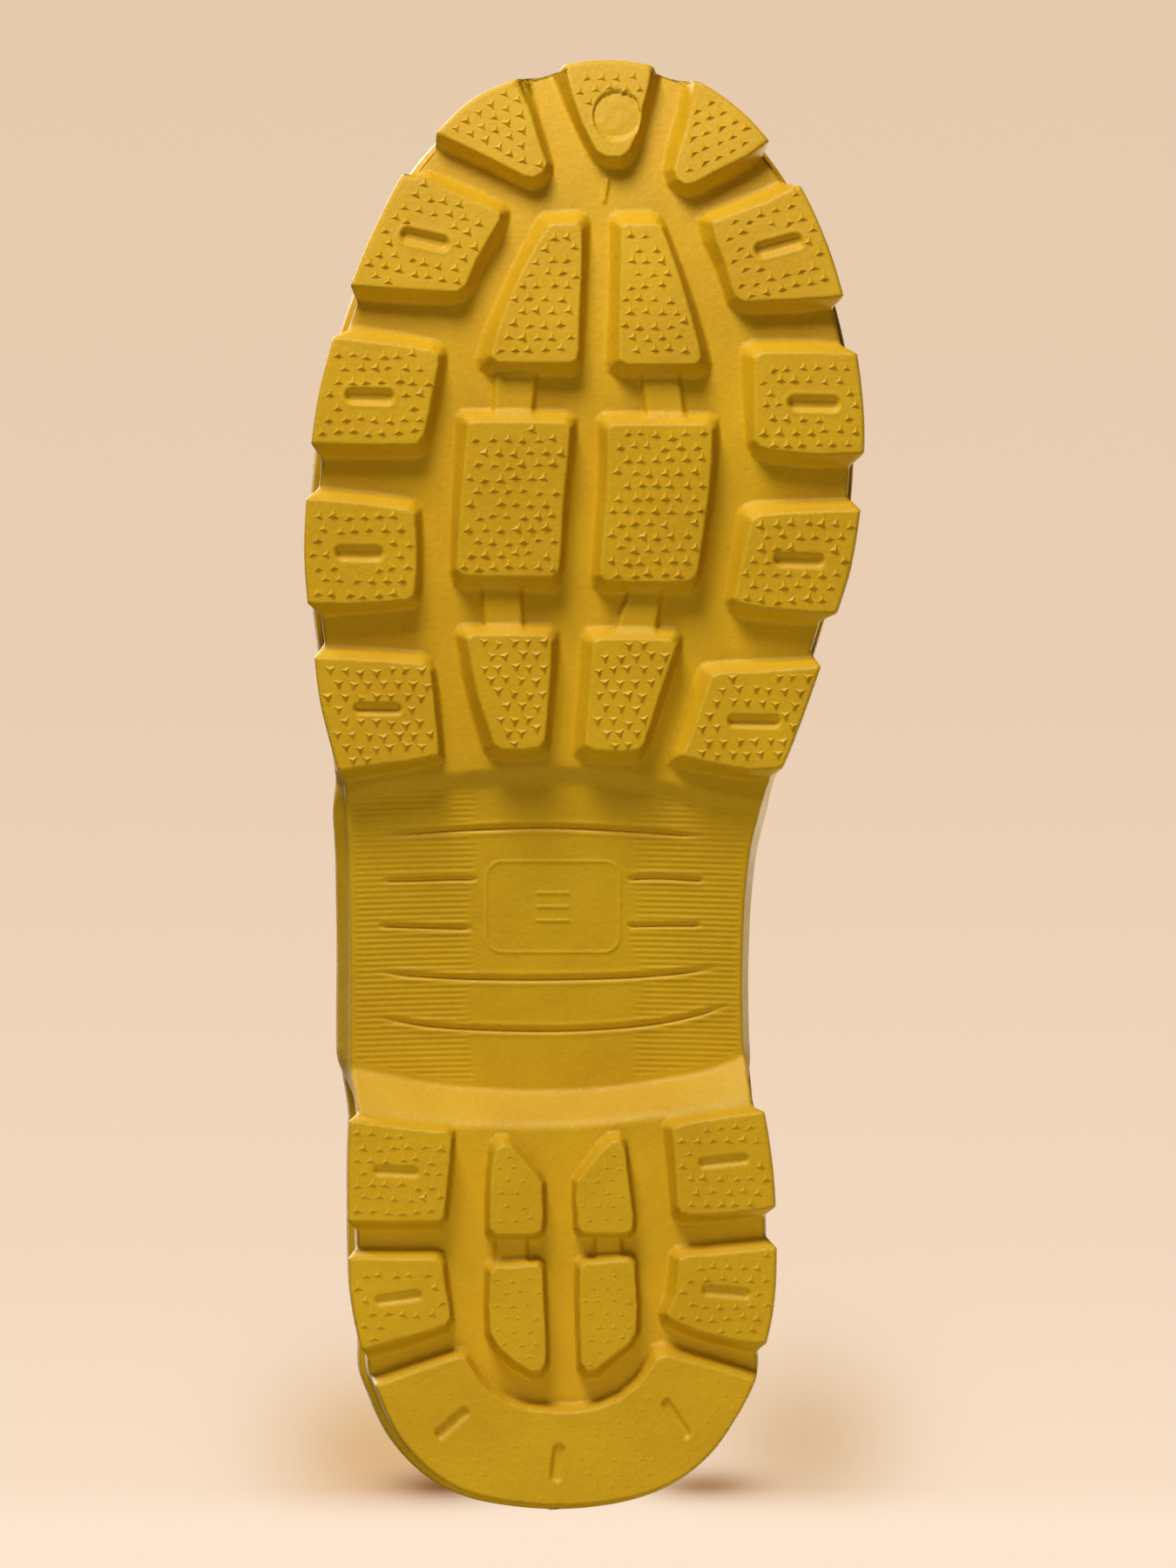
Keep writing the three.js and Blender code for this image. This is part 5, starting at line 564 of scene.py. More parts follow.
# ------------------------------------------------------------------ body of the upper
FE0, FE1 = FE_SIDES.y0, FE_SIDES.y1
ridge = curve_table([[-132.5, 33], [-130.5, 42], [-127, 49.5], [-122, 56], [-114, 62.5], [-103, 68], [-88, 73], [-70, 79], [-52, 88], [-34, 99], [-15, 110], [10, 118], [60, 108], [100, 88], [118, 76], [133, 62]])
shaft_front = curve_table([[20, 18], [60, 12], [90, 4], [110, 1], [130, -0.5], [165, -2.5], [190, -3]])
shaft_back = curve_table([[10, 112], [30, 116], [50, 122], [70, 125.5], [95, 125], [120, 124.5], [145, 125.5], [165, 127], [190, 128]])
shaft_half = curve_table([[10, 22], [35, 27], [60, 31], [85, 33.5], [115, 35.2], [145, 36.2], [165, 36.8], [190, 37]])
def foot_field(x, y, z):
    yy = np.clip(y, FE0 + 0.3, FE1 - 0.3); l, r = FE_SIDES(yy)
    hw = np.maximum(1, (r - l) / 2); cx = (l + r) / 2 + 0.03 * np.maximum(0, z - 30) * smooth(-20, -110, y)
    b = seat(yy); h = ridge(yy) - b
    u = np.abs(x - cx) / hw; v = np.maximum(0, (z - b) / h)
    return ((u ** 2.5 + v ** 2.1) ** (1 / 2.3) - 1) * np.minimum(hw, h) + np.abs(y - yy) * 1.2
def shaft_field(x, y, z):
    f, b = shaft_front(z), shaft_back(z); a, c, w = (b - f) / 2, (b + f) / 2, shaft_half(z)
    cx = mix(-4.6, 0.5, smooth(30, 150, z))
    return (((np.abs(x - cx) / w) ** 2.25 + (np.abs(y - c) / a) ** 2.25) ** (1 / 2.25) - 1) * w
def field(x, y, z):
    a, b, k = foot_field(x, y, z), shaft_field(x, y, z), 15
    h = np.clip(0.5 + 0.5 * (b - a) / k, 0, 1)
    return mix(b, a, h) - k * h * (1 - h)
def distance(x, y, z):
    e = 0.6
    gx = field(x + e, y, z) - field(x - e, y, z); gy = field(x, y + e, z) - field(x, y - e, z); gz = field(x, y, z + e) - field(x, y, z - e)
    return field(x, y, z) / np.maximum(0.35, np.sqrt(gx * gx + gy * gy + gz * gz) / (2 * e))
def gradient(P):
    e = 0.8; x, y, z = P[..., 0], P[..., 1], P[..., 2]
    g = np.stack([field(x + e, y, z) - field(x - e, y, z), field(x, y + e, z) - field(x, y - e, z), field(x, y, z + e) - field(x, y, z - e)], -1)
    return g / np.maximum(1e-9, np.linalg.norm(g, axis=-1, keepdims=True))
def march(origin, direction, d, reach=170.0, step=2.5, floor=True):
    """First point along each ray that lies outside the surface moved out by d."""
    def F(r):
        p = origin + direction * r[..., None]; v = distance(p[..., 0], p[..., 1], p[..., 2]) - d
        return np.maximum(v, seat(p[..., 1]) - 14 - p[..., 2]) if floor else v
    shape = origin.shape[:-1]; lo, hi, found = np.zeros(shape), np.full(shape, reach), np.zeros(shape, bool)
    r = 2.0
    while r < reach:
        out = F(np.full(shape, r)) > 0; new = out & ~found
        hi[new] = r; lo[new] = max(0, r - step); found |= out; r += step
        if found.all(): break
    for _ in range(13):
        m = (lo + hi) / 2; out = F(m) > 0; hi = np.where(out, m, hi); lo = np.where(out, lo, m)
    return origin + direction * lo[..., None]
def fan_extent(d, pivot, deg):
    a = math.radians(deg); s = np.arange(4, 270, 1.0); cx = mix(-2.5, 4, smooth(30, 104, deg))
    y, z = pivot[0] + s * math.cos(a), pivot[1] - s * math.sin(a)
    ok = np.maximum(distance(np.full(s.shape, cx), y, z) - d, seat(y) - 14 - z) < 0
    return (s[ok].min(), s[ok].max()) if ok.any() else (0, 0)
def toe_touch(d, pivot):
    a, b = 92.0, 116.0
    for _ in range(14):
        m = (a + b) / 2; e = fan_extent(d, pivot, m)
        if e[1] - e[0] > 4: a = m
        else: b = m
    return a
def fan(d, pivot, degs, around, end):
    """Rings of the surface moved out by d, cut by planes through a line across the boot, then closing over the toe."""
    degs = np.array([v for v in degs if v < end - 1.9] + [end - 1.6])
    O, D = [], []
    t = np.linspace(0, 2 * math.pi, around, endpoint=False)
    for deg in degs:
        a = math.radians(deg); s0, s1 = fan_extent(d, pivot, deg); cs, hs = (s0 + s1) / 2, max(0.5, (s1 - s0) / 2)
        cx = mix(-2.5, 4, smooth(30, 104, deg)); dx, ds = np.sin(t) * 42, -np.cos(t) * hs * 1.02; l = np.hypot(dx, ds)
        D.append(np.c_[dx / l, ds / l * math.cos(a), -ds / l * math.sin(a)])
        O.append(np.tile([cx, pivot[0] + cs * math.cos(a), pivot[1] - cs * math.sin(a)], (around, 1)))
    rings = march(np.array(O), np.array(D), d)
    last = rings[-1]; c = last.mean(0); a = math.radians(degs[-1]); n = np.array([0, -math.sin(a), -math.cos(a)])
    ks = np.array([0.95, 0.89, 0.82, 0.74, 0.65, 0.55, 0.45, 0.34, 0.22, 0.10])
    o = c + (last - c)[None] * ks[:, None, None] - n * 3.0
    cap = march(o, np.broadcast_to(n, o.shape), d, 40, 1.0)
    return np.concatenate([rings, cap])
def cut_shell(name, outer, inner, keep, snap, mat, cap_end=True):
    """Closed shell from two matching ring grids; keep(points) says which vertices stay, snap moves those on the cut."""
    n, m = outer.shape[:2]; N = n * m; q = grid_quads(n, m, True); ko = keep(outer.reshape(-1, 3))
    if cap_end:
        pass
    q = q[ko[q].any(1)]
    A, B = snap(outer.reshape(-1, 3).copy(), ko), snap(inner.reshape(-1, 3).copy(), ko)
    e = np.concatenate([q[:, [0, 1]], q[:, [1, 2]], q[:, [2, 3]], q[:, [3, 0]]])
    tris = []
    if cap_end:   # the last ring closes on a point
        base = (n - 1) * m; c = len(A)
        A = np.vstack([A, A[base:base + m].mean(0)]); B = np.vstack([B, B[base:base + m].mean(0)])
        a = base + np.arange(m); tris = np.c_[a, np.roll(a, -1), np.full(m, c)]
        tris = tris[ko[tris[:, 0]] | ko[tris[:, 1]]]
        # same turn as the quads
        tris = tris[:, [0, 1, 2]]; e = np.concatenate([e, tris[:, [0, 1]], tris[:, [1, 2]], tris[:, [2, 0]]])
    N = len(A); key = e[:, 0].astype(np.int64) * N + e[:, 1]; rev = e[:, 1].astype(np.int64) * N + e[:, 0]
    border = e[~np.isin(key, rev)]
    # rims whose both ends use the same undirected edge twice are inside; the rest are bridged
    und = np.sort(e, 1); u, cnt = np.unique(und[:, 0].astype(np.int64) * N + und[:, 1], return_counts=True)
    single = set(u[cnt == 1].tolist()); border = np.array([b for b in border if (min(b) * N + max(b)) in single])
    bridge = np.c_[border[:, 1], border[:, 0], border[:, 0] + N, border[:, 1] + N]
    Q = np.concatenate([q, q[:, ::-1] + N, bridge]); T = None
    if len(tris): T = np.concatenate([tris, tris[:, ::-1] + N])
    ob = make(name, np.vstack([A, B]), Q, T, mat)
    bm = bmesh.new(); bm.from_mesh(ob.data)
    bmesh.ops.delete(bm, geom=[v for v in bm.verts if not v.link_faces], context="VERTS")
    bmesh.ops.recalc_face_normals(bm, faces=bm.faces); bm.to_mesh(ob.data); bm.free()
    return ob

GUSSET = [[42, TOP_LINE + 9], [46, 138], [51.5, 112], [56, 98], [61, 91], [66, 88.5], [71, 91], [76, 98], [80, 112], [84.5, 138], [88, TOP_LINE + 9]]
GU = open_spline(GUSSET, 8)
GPOLY = np.array(GU)
fan_top = (FAN[0], TOP_LINE)
degs = np.r_[np.linspace(0, 60, 44), np.linspace(61.2, 108, 52)]
AR = 132
# the toe as seen from a point inside it: smoothed reach in every direction, used by the cap and by what lies under it
CC = np.array([3.0, -80.0, 48.0]); CT = np.linspace(0, 2 * math.pi, 120, endpoint=False)
def cap_dir(psi):
    psi = np.broadcast_to(psi, CT.shape); dr = np.sin(psi); return np.stack([dr * np.cos(CT), -np.cos(psi), dr * np.sin(CT)], -1)
cap_lo, cap_hi = np.full(120, 0.3), np.full(120, math.pi / 2)
for _ in range(14):
    mid = (cap_lo + cap_hi) / 2; D = cap_dir(mid); pp = march(np.broadcast_to(CC, D.shape), D, 0.0, 120, 1.5)
    behind = pp[:, 1] > -88 - 13 / 82 * (pp[:, 2] + 20); cap_hi = np.where(behind, mid, cap_hi); cap_lo = np.where(behind, cap_lo, mid)
CAP_ROWS = np.r_[0, 0.005, 0.012, 0.022, 0.038, 0.06, np.linspace(0.085, 0.99, 46)]
CAP_PSI = cap_hi[None, :] * (1 - CAP_ROWS[:, None]); CAP_D = np.stack([cap_dir(v) for v in CAP_PSI])
CAP_R0 = np.linalg.norm(march(np.broadcast_to(CC, CAP_D.shape), CAP_D, 0.0, 120, 1.5) - CC, axis=-1)
def toe_reach(D):
    """Average reach about each direction, over a patch of some six millimetres."""
    src, r, w = CAP_D.reshape(-1, 3).astype(np.float32), CAP_R0.ravel().astype(np.float32), np.sin(CAP_PSI).ravel().astype(np.float32); out = []
    for part in np.array_split(D.reshape(-1, 3).astype(np.float32), max(1, len(D.reshape(-1, 3)) // 1500)):
        k = np.exp((part @ src.T - 1) / 0.0125) * w; out.append((k @ r) / np.maximum(k.sum(1), 1e-12))
    return np.concatenate(out).reshape(D.shape[:-1]).astype(float)
def retoe(P, inset):
    """Moves the vertices hidden under the cap onto the smoothed toe."""
    P = P.copy(); m = P[..., 1] < -108; V = P[m] - CC; l = np.linalg.norm(V, axis=1, keepdims=True); V = V / l
    w = smooth(-108, -113, P[m][:, 1:2])
    P[m] = mix(P[m], CC + V * (toe_reach(V)[:, None] - inset), w); return P
END0 = toe_touch(-2.4, fan_top); OUT0 = fan(0.0, fan_top, degs, AR, END0); INN0 = fan(-2.4, fan_top, degs, AR, END0)
def wobble(P, amp=0.16):
    g = gradient(P); w = value_noise(P[..., 0] + P[..., 2] * 0.7, P[..., 1] + P[..., 2] * 0.5, 17.0, 21)
    # soft creases where the foot bends and round the ankle
    crease = 0.0
    for yc, zc, ang, wd, am in ((-36, 92, 0.5, 5.0, 0.55), (-52, 84, 0.38, 5.5, 0.45), (-20, 101, 0.6, 5.0, 0.35)):
        s = (P[..., 1] - yc) * math.cos(ang) + (P[..., 2] - zc) * math.sin(ang) * 0.6 + 1.2 * np.sin(P[..., 0] * 0.16 + yc)
        crease = crease - am * np.exp(-(s / wd * 1.6) ** 2) * smooth(46, 66, P[..., 2]) * (1 - smooth(20, 34, np.abs(P[..., 0] + 2)))
    return P + g * (amp * w + crease)[..., None]
low_edge = lambda P: seat(P[:, 1]) + 0.45
def keep_upper(P):
    in_gusset = (polygon_sdf(GPOLY, P[:, 1], P[:, 2]) < 0.9) & (np.abs(P[:, 0] + 3) > 10)
    return (P[:, 2] > low_edge(P) - 1e-6) & ~in_gusset
def snap_upper(P, kept):
    low = P[:, 2] < low_edge(P); P[low, 2] = low_edge(P)[low]; return P
UPPER = cut_shell("upper_moulding", retoe(wobble(OUT0), 0.7), retoe(wobble(INN0), 2.9), keep_upper, snap_upper, MAT_UPPER)
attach(UPPER, "boot"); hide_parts("upper_shell")

def side_surface(y, z, side, d):
    """Point of the surface moved out by d, straight out across the boot at (y, z)."""
    o = np.stack([np.full(y.shape, -3.0), y, z], -1); r = np.zeros_like(o); r[..., 0] = side
    return march(o, r, d, 80, 2.5, False)
MAT_ELASTIC = cloth("gusset_elastic", srgb(206, 152, 40), srgb(140, 98, 22), 900, 0.85)
MAT_STITCH = cloth("stitch_thread", srgb(232, 214, 168), srgb(150, 128, 84), 2600, 0.8)
for side, name in ((-1, "lateral"), (1, "medial")):
    # ribbed elastic: rows from the foot of the gusset up to the binding
    zz = np.r_[np.linspace(88.9, TOP_LINE - 0.4, 120)]
    G = np.array(GU); half = len(G) // 2; il = np.argsort(G[:half + 1, 1]); ir = np.argsort(G[half:, 1])
    gl = np.interp(zz, G[:half + 1][il, 1], G[:half + 1][il, 0]); gr = np.interp(zz, G[half:][ir, 1], G[half:][ir, 0])
    gl, gr = gl - 1.5, gr + 1.5
    nn = 150; uu = np.linspace(0, 1, nn)
    yy = mix(gl[:, None], gr[:, None], uu[None, :]); zz2 = np.repeat(zz[:, None], nn, 1)
    base = side_surface(yy, zz2, side, -0.95); g = gradient(base)
    ribs = 0.42 * np.abs(np.sin(math.pi * (yy - 65.5) / 2.3)) ** 0.8 + 0.05 * np.sin(zz2 * 2 * math.pi / 1.1)
    ribs *= smooth(0, 0.03, uu)[None, :] * smooth(0, 0.03, 1 - uu)[None, :]
    outer = base + g * ribs[..., None]; inner = base - g * 1.1
    GS = slab_piece("gusset_elastic_" + name, outer, inner, MAT_ELASTIC)
    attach(GS, "boot"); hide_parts("gusset_" + name)
    # moulded rim round it, bedded in the upper
    C = open_spline([p for p in GUSSET], 14); C = C[C[:, 1] < TOP_LINE - 0.2]
    t = np.gradient(C, axis=0); t /= np.hypot(t[:, 0], t[:, 1])[:, None]; nr = np.c_[t[:, 1], -t[:, 0]]
    w = np.linspace(-2.7, 2.7, 15); prof = 1.15 * np.maximum(0, 1 - (np.abs(w) / 2.7) ** 3.5) ** 0.7 - 0.28
    Y = C[:, None, 0] + nr[:, None, 0] * w[None, :]; Z = np.minimum(C[:, None, 1] + nr[:, None, 1] * w[None, :], TOP_LINE - 0.2)
    b0 = side_surface(Y, Z, side, 0.0); gg = gradient(b0)
    RIM = slab_piece("gusset_rim_" + name, b0 + gg * prof[None, :, None], b0 - gg * 1.6, MAT_RAND)
    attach(RIM, "boot")

# toe cap: a thicker layer over the toes with a rolled rear edge
cap_soft = 1 - smooth(0.55, 1.0, CAP_PSI); CAP_R = mix(CAP_R0, toe_reach(CAP_D), cap_soft)
cap_prof = np.interp(np.arange(len(CAP_ROWS)), [0, 1, 2, 3, 4, 5], [0.0, 0.7, 1.3, 1.7, 1.86, 1.9])
co_ = CC + CAP_D * (CAP_R + cap_prof[:, None])[..., None]; ci_ = CC + CAP_D * (CAP_R - 0.4)[..., None]
cap_low = lambda P: seat(P[:, 1]) + 11.7
def snap_cap(P, kept):
    low = P[:, 2] < cap_low(P); P[low, 2] = cap_low(P)[low]; return P
TOECAP = cut_shell("toe_cap_moulding", co_, ci_, lambda P: P[:, 2] > cap_low(P) - 1e-6, snap_cap, MAT_RAND)
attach(TOECAP, "boot"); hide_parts("toe_cap")

# round the heel: rays out from an upright line
def heel_surface(phi, z, d):
    o = np.stack([np.full(phi.shape, -4.0), np.full(phi.shape, 72.0), z], -1)
    r = np.stack([np.sin(phi), np.cos(phi), np.zeros_like(phi)], -1)
    return march(o, r, d, 90, 2.5, False)
def counter_top(y): return np.interp(y, [86, 93, 100, 112, 124, 160], [33, 40, 54, 70, 76, 76])
PH = np.radians(np.linspace(-62, 62, 130)); zt = np.full(PH.shape, 60.0)
lo_, hi_ = np.full(PH.shape, 33.5), np.full(PH.shape, 80.0)
for _ in range(18):
    m_ = (lo_ + hi_) / 2; s = heel_surface(PH, m_, 0.0); up = m_ > counter_top(s[:, 1]); hi_ = np.where(up, m_, hi_); lo_ = np.where(up, lo_, m_)
zt = np.maximum(lo_, 34.6)
rows = np.r_[0, 0.006, 0.015, 0.03, np.linspace(0.05, 0.95, 56), 0.97, 0.985, 0.994, 1.0]
bottom = heel_surface(PH, np.full(PH.shape, 33.0), 0.0); zb = seat(bottom[:, 1]) + 11.8
ZZ = mix(zb[None, :], zt[None, :], rows[:, None]); PP = np.repeat(PH[None, :], len(rows), 0)
S0 = heel_surface(PP, ZZ, 0.0); g = gradient(S0)
roll = np.minimum(1, np.minimum((ZZ - zb[None, :]) / 1.0, (zt[None, :] - ZZ) / 1.6)); roll = np.sqrt(np.clip(1 - (1 - np.clip(roll, 0, 1)) ** 2, 0, 1))
endr = np.sqrt(np.clip(1 - (1 - np.clip((np.radians(62) - np.abs(PP)) / 0.03, 0, 1)) ** 2, 0, 1))
kick = 0.9 * np.exp(-(np.abs(ZZ - 47.5) / 3.2) ** 4) * smooth(24, 20, np.abs(S0[..., 0] + 4.5)) * (PP * 0 + 1)
kick *= 1 + 0.22 * np.cos(2 * math.pi * (S0[..., 0] + 4.5) / 3.0) * smooth(21, 18, np.abs(S0[..., 0] + 4.5))
line = -0.35 * np.exp(-((zt[None, :] - ZZ - 4.5) / 0.7) ** 2) * smooth(0, 8, ZZ - zb[None, :])
COUNTER = slab_piece("heel_counter_moulding", S0 + g * (-0.2 + (2.0 * roll * endr) + kick + line)[..., None], S0 - g * 1.2, MAT_RAND)
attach(COUNTER, "boot"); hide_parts("heel_counter_cover")
# backstay up the rear seam
zs = np.linspace(76.6, TOP_LINE - 0.3, 120); xs = np.linspace(-13, 10, 40)
XX, Z2 = np.meshgrid(xs, zs); o = np.stack([XX, np.full(XX.shape, 60.0), Z2], -1); r = np.zeros_like(o); r[..., 1] = 1
B0 = march(o, r, 0.0, 90, 2.5, False); g = gradient(B0)
pr = np.clip(np.minimum((XX + 13), (10 - XX)) / 1.3, 0, 1); pr = np.sqrt(1 - (1 - pr) ** 2)
pr = 1.7 * pr - 0.15 + 0.30 * np.exp(-((np.abs(XX + 1.5) - 8.2) / 0.7) ** 2)
BACK = slab_piece("backstay_moulding", B0 + g * pr[..., None], B0 - g * 1.2, MAT_RAND)
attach(BACK, "boot"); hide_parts("backstay")

# ------------------------------------------------------------------ foxing: the ribbed rand
RB = even_closed(SIDEWALL, 1500); RN = ring_normals(RB, 5)
if (RN * (RB - RB.mean(0))).sum() < 0: RN = -RN
prof = [(-7.6, 0.0), (0.45, 0.0), (0.9, 0.35), (1.0, 1.1)] + [(1.0, h) for h in np.linspace(1.8, 8.8, 15)] + [(1.0, 9.4), (0.85, 10.3), (0.4, 11.1), (-0.3, 11.5), (-2.0, 11.5), (-7.6, 11.5)]
arclen = np.r_[0, np.cumsum(np.hypot(*np.diff(RB, axis=0).T))]
R_ = np.zeros((len(RB), len(prof), 3))
for j, (dd, h) in enumerate(prof):
    mill = 0.0
    if 1.5 < h < 9.1:
        ph = (arclen + h * 0.6) * 2 * math.pi / 2.0; mill = -0.30 * (0.5 + 0.5 * np.cos(ph)) * smooth(1.2, 2.6, h) * (1 - smooth(8.2, 9.1, h))
    q = RB + RN * (dd + mill) [..., None] if np.ndim(mill) else RB + RN * dd
    yb = (RB + RN * dd)[:, 1]; R_[:, j, :2] = q; R_[:, j, 2] = seat(yb) + 0.3 + h
Qf = grid_quads(len(RB), len(prof), True, True)
FOX = outward(make("foxing_rand", R_.reshape(-1, 3), Qf, mat=MAT_RAND))
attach(FOX, "boot"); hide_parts("foxing_band")

# ------------------------------------------------------------------ collar
PHI = np.linspace(0, 2 * math.pi, 360, endpoint=False)
def collar_ring(z, d=0.0, n=None):
    ph = PHI if n is None else np.linspace(0, 2 * math.pi, n, endpoint=False)
    o = np.stack([np.full(ph.shape, -2.5), np.full(ph.shape, 62.0), np.full(ph.shape, float(z))], -1)
    r = np.stack([np.sin(ph), np.cos(ph), np.zeros_like(ph)], -1)
    return march(o, r, d, 90, 2.5, False)
def ring_out(C):
    t = np.roll(C[:, :2], -2, 0) - np.roll(C[:, :2], 2, 0); t /= np.hypot(t[:, 0], t[:, 1])[:, None]
    n = np.c_[t[:, 1], -t[:, 0]]; c = C[:, :2] - C[:, :2].mean(0)
    return n if (n * c).sum() > 0 else -n
top = collar_ring(161.5); tn = ring_out(top)
bp = [(-7.1, 158.6), (0.9, 158.35), (1.25, 158.9), (1.3, 160.2), (1.3, 162.4), (1.05, 163.7), (0.3, 164.7), (-0.9, 165.0), (-2.9, 165.0), (-4.9, 164.9), (-6.2, 164.3), (-6.95, 163.2), (-7.2, 161.8), (-7.2, 160.0)]
bp = closed_spline(bp, 3); bp[:, 0] = np.clip(bp[:, 0], -7.2, 1.3); bp[:, 1] = np.clip(bp[:, 1], 158.35, 165.0)
BR = np.zeros((len(top), len(bp), 3))
for j, (dd, z) in enumerate(bp): BR[:, j, :2] = top[:, :2] + tn * dd; BR[:, j, 2] = z
MAT_BIND = rubber("binding_rubber", SOLE_BASE, SOLE_DEEP, SOLE_PALE, 0.45, 0.7, 0.35)
BIND = outward(make("collar_binding_roll", BR.reshape(-1, 3), grid_quads(len(top), len(bp), True, True), mat=MAT_BIND))
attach(BIND, "boot"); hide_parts("collar_binding")

MAT_PAD = cloth("padding_knit", srgb(94, 98, 103), srgb(46, 49, 53), 1200, 0.92)
MAT_LINING = cloth("lining_knit", srgb(206, 198, 180), srgb(148, 139, 120), 1000, 0.92)
MAT_BED = cloth("bed_cloth", srgb(84, 90, 97), srgb(40, 44, 48), 1300, 0.9)
zs = np.linspace(128.3, 157.8, 66); rows_ = []
for z in zs:
    C = collar_ring(z); n2 = ring_out(C)
    t = (z - 128.0) / 30.0
    dome = np.sqrt(max(0.0, 1 - abs(2 * t - 1) ** 2.6))
    quilt = 0.55 * abs(math.sin(math.pi * t * 3)) ** 0.5
    tack = 0.18 * np.cos(PHI * 26 + (1 if int(t * 3) % 2 else 0) * math.pi)
    thick = 0.9 + dome * (2.3 + quilt) + dome * tack * abs(math.sin(math.pi * t * 3))
    ci = np.clip(-5.95 - thick, -9.8, -6.2)
    rows_.append(np.c_[C[:, :2] + n2 * np.asarray(ci)[..., None] if np.ndim(ci) else C[:, :2] + n2 * ci, np.full(len(C), z)])
inner = np.array(rows_); outer = np.array([np.c_[collar_ring(z)[:, :2] + ring_out(collar_ring(z)) * -5.85, np.full(len(PHI), z)] for z in zs])
PAD = slab_piece("collar_pad", outer, inner, MAT_PAD, close=True)
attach(PAD, "boot"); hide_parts("collar_padding")

# lining
END2 = toe_touch(-5.4, fan_top); LO, LI = fan(-4.2, fan_top, degs, 96, END2), fan(-5.4, fan_top, degs, 96, END2)
wr = 0.25 * value_noise(LI[..., 0] * 0.6 + LI[..., 1], LI[..., 2] + LI[..., 1] * 0.3, 9.0, 31)
LI = LI - gradient(LI) * np.abs(wr)[..., None]
low2 = lambda P: seat(P[:, 1]) + 0.5
def snap2(P, kept):
    low = P[:, 2] < low2(P); P[low, 2] = low2(P)[low]; return P
LIN = cut_shell("lining_cloth", LO, LI, lambda P: P[:, 2] > low2(P) - 1e-6, snap2, MAT_LINING)
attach(LIN, "boot"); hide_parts("lining")

# ------------------------------------------------------------------ footbed: cover and foam, on their own body
FBO = SIDEWALL - SW_N * 9.8
FB = Sides(FBO)
def bed_piece(name, z_low, z_high, mat, crown):
    ys = FB.y0 + (FB.y1 - FB.y0) * (0.5 - 0.5 * np.cos(np.linspace(0.03, math.pi - 0.03, 190))); us = 0.5 - 0.5 * np.cos(np.linspace(0, math.pi, 64))
    L, R = FB(ys); X = mix(L[:, None], R[:, None], us[None, :]); Y = np.repeat(ys[:, None], len(us), 1)
    # stay inside the lining: clip each row at the surface moved in by 7.2
    hi = z_high(Y); mid = np.stack([np.full(len(ys), 0.0) + (L + R) / 2, ys, z_high(ys)], -1)
    for s, col in ((-1, 0), (1, 1)):
        r = np.zeros_like(mid); r[:, 0] = s; e = march(mid, r, -7.1, 60, 2.5, False)[:, 0]
        if s < 0: L = np.maximum(L, e)
        else: R = np.minimum(R, e)
    ok = R - L > 3; ys, L, R = ys[ok], L[ok], R[ok]; X = mix(L[:, None], R[:, None], us[None, :]); Y = np.repeat(ys[:, None], len(us), 1)
    edge = np.minimum(X - L[:, None], R[:, None] - X)
    topz = z_high(Y) + crown(X, Y, edge); lowz = z_low(Y)
    ob = slab_piece(name, np.stack([X, Y, topz], -1), np.stack([X, Y, np.minimum(lowz, topz - 0.2)], -1), mat)
    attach(ob, "footbed"); return ob
bed0 = lambda y: seat(y) + 0.6 + 1.8
def crown_cover(X, Y, edge):
    rim = 0.0 * X - 0.45 * np.exp(-((edge - 2.6) / 0.55) ** 2) - 0.6 * (1 - smooth(0, 1.2, edge))
    tick = 0.10 * np.abs(np.sin(Y * math.pi / 3.0)) * np.exp(-((edge - 2.6) / 0.5) ** 2)
    perf = 0.0
    fx, fy = (X - 4) / 7.0, (Y + 72) / 7.0
    near = np.hypot(fx - np.round(fx), fy - np.round(fy)); zone = ((X - 3) / 26) ** 2 + ((Y + 72) / 32) ** 2 < 1
    perf = -0.45 * np.exp(-(near / 0.11) ** 2) * zone
    return rim + tick + perf - 0.02
COVER = bed_piece("footbed_top_cloth", lambda y: bed0(y) + 4.2 + 0.3, lambda y: bed0(y) + 4.2 + 0.3 + 1.2, MAT_BED, crown_cover)
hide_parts("footbed_cover")
MAT_FOAM = cloth("foam_cells", srgb(62, 64, 68), srgb(30, 31, 34), 2600, 0.95, sheen=0.1)
FOAM = bed_piece("footbed_foam_layer", lambda y: bed0(y), lambda y: bed0(y) + 4.1, MAT_FOAM, lambda X, Y, e: -0.15 * (1 - smooth(0, 1.5, e)))
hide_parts("footbed_foam")

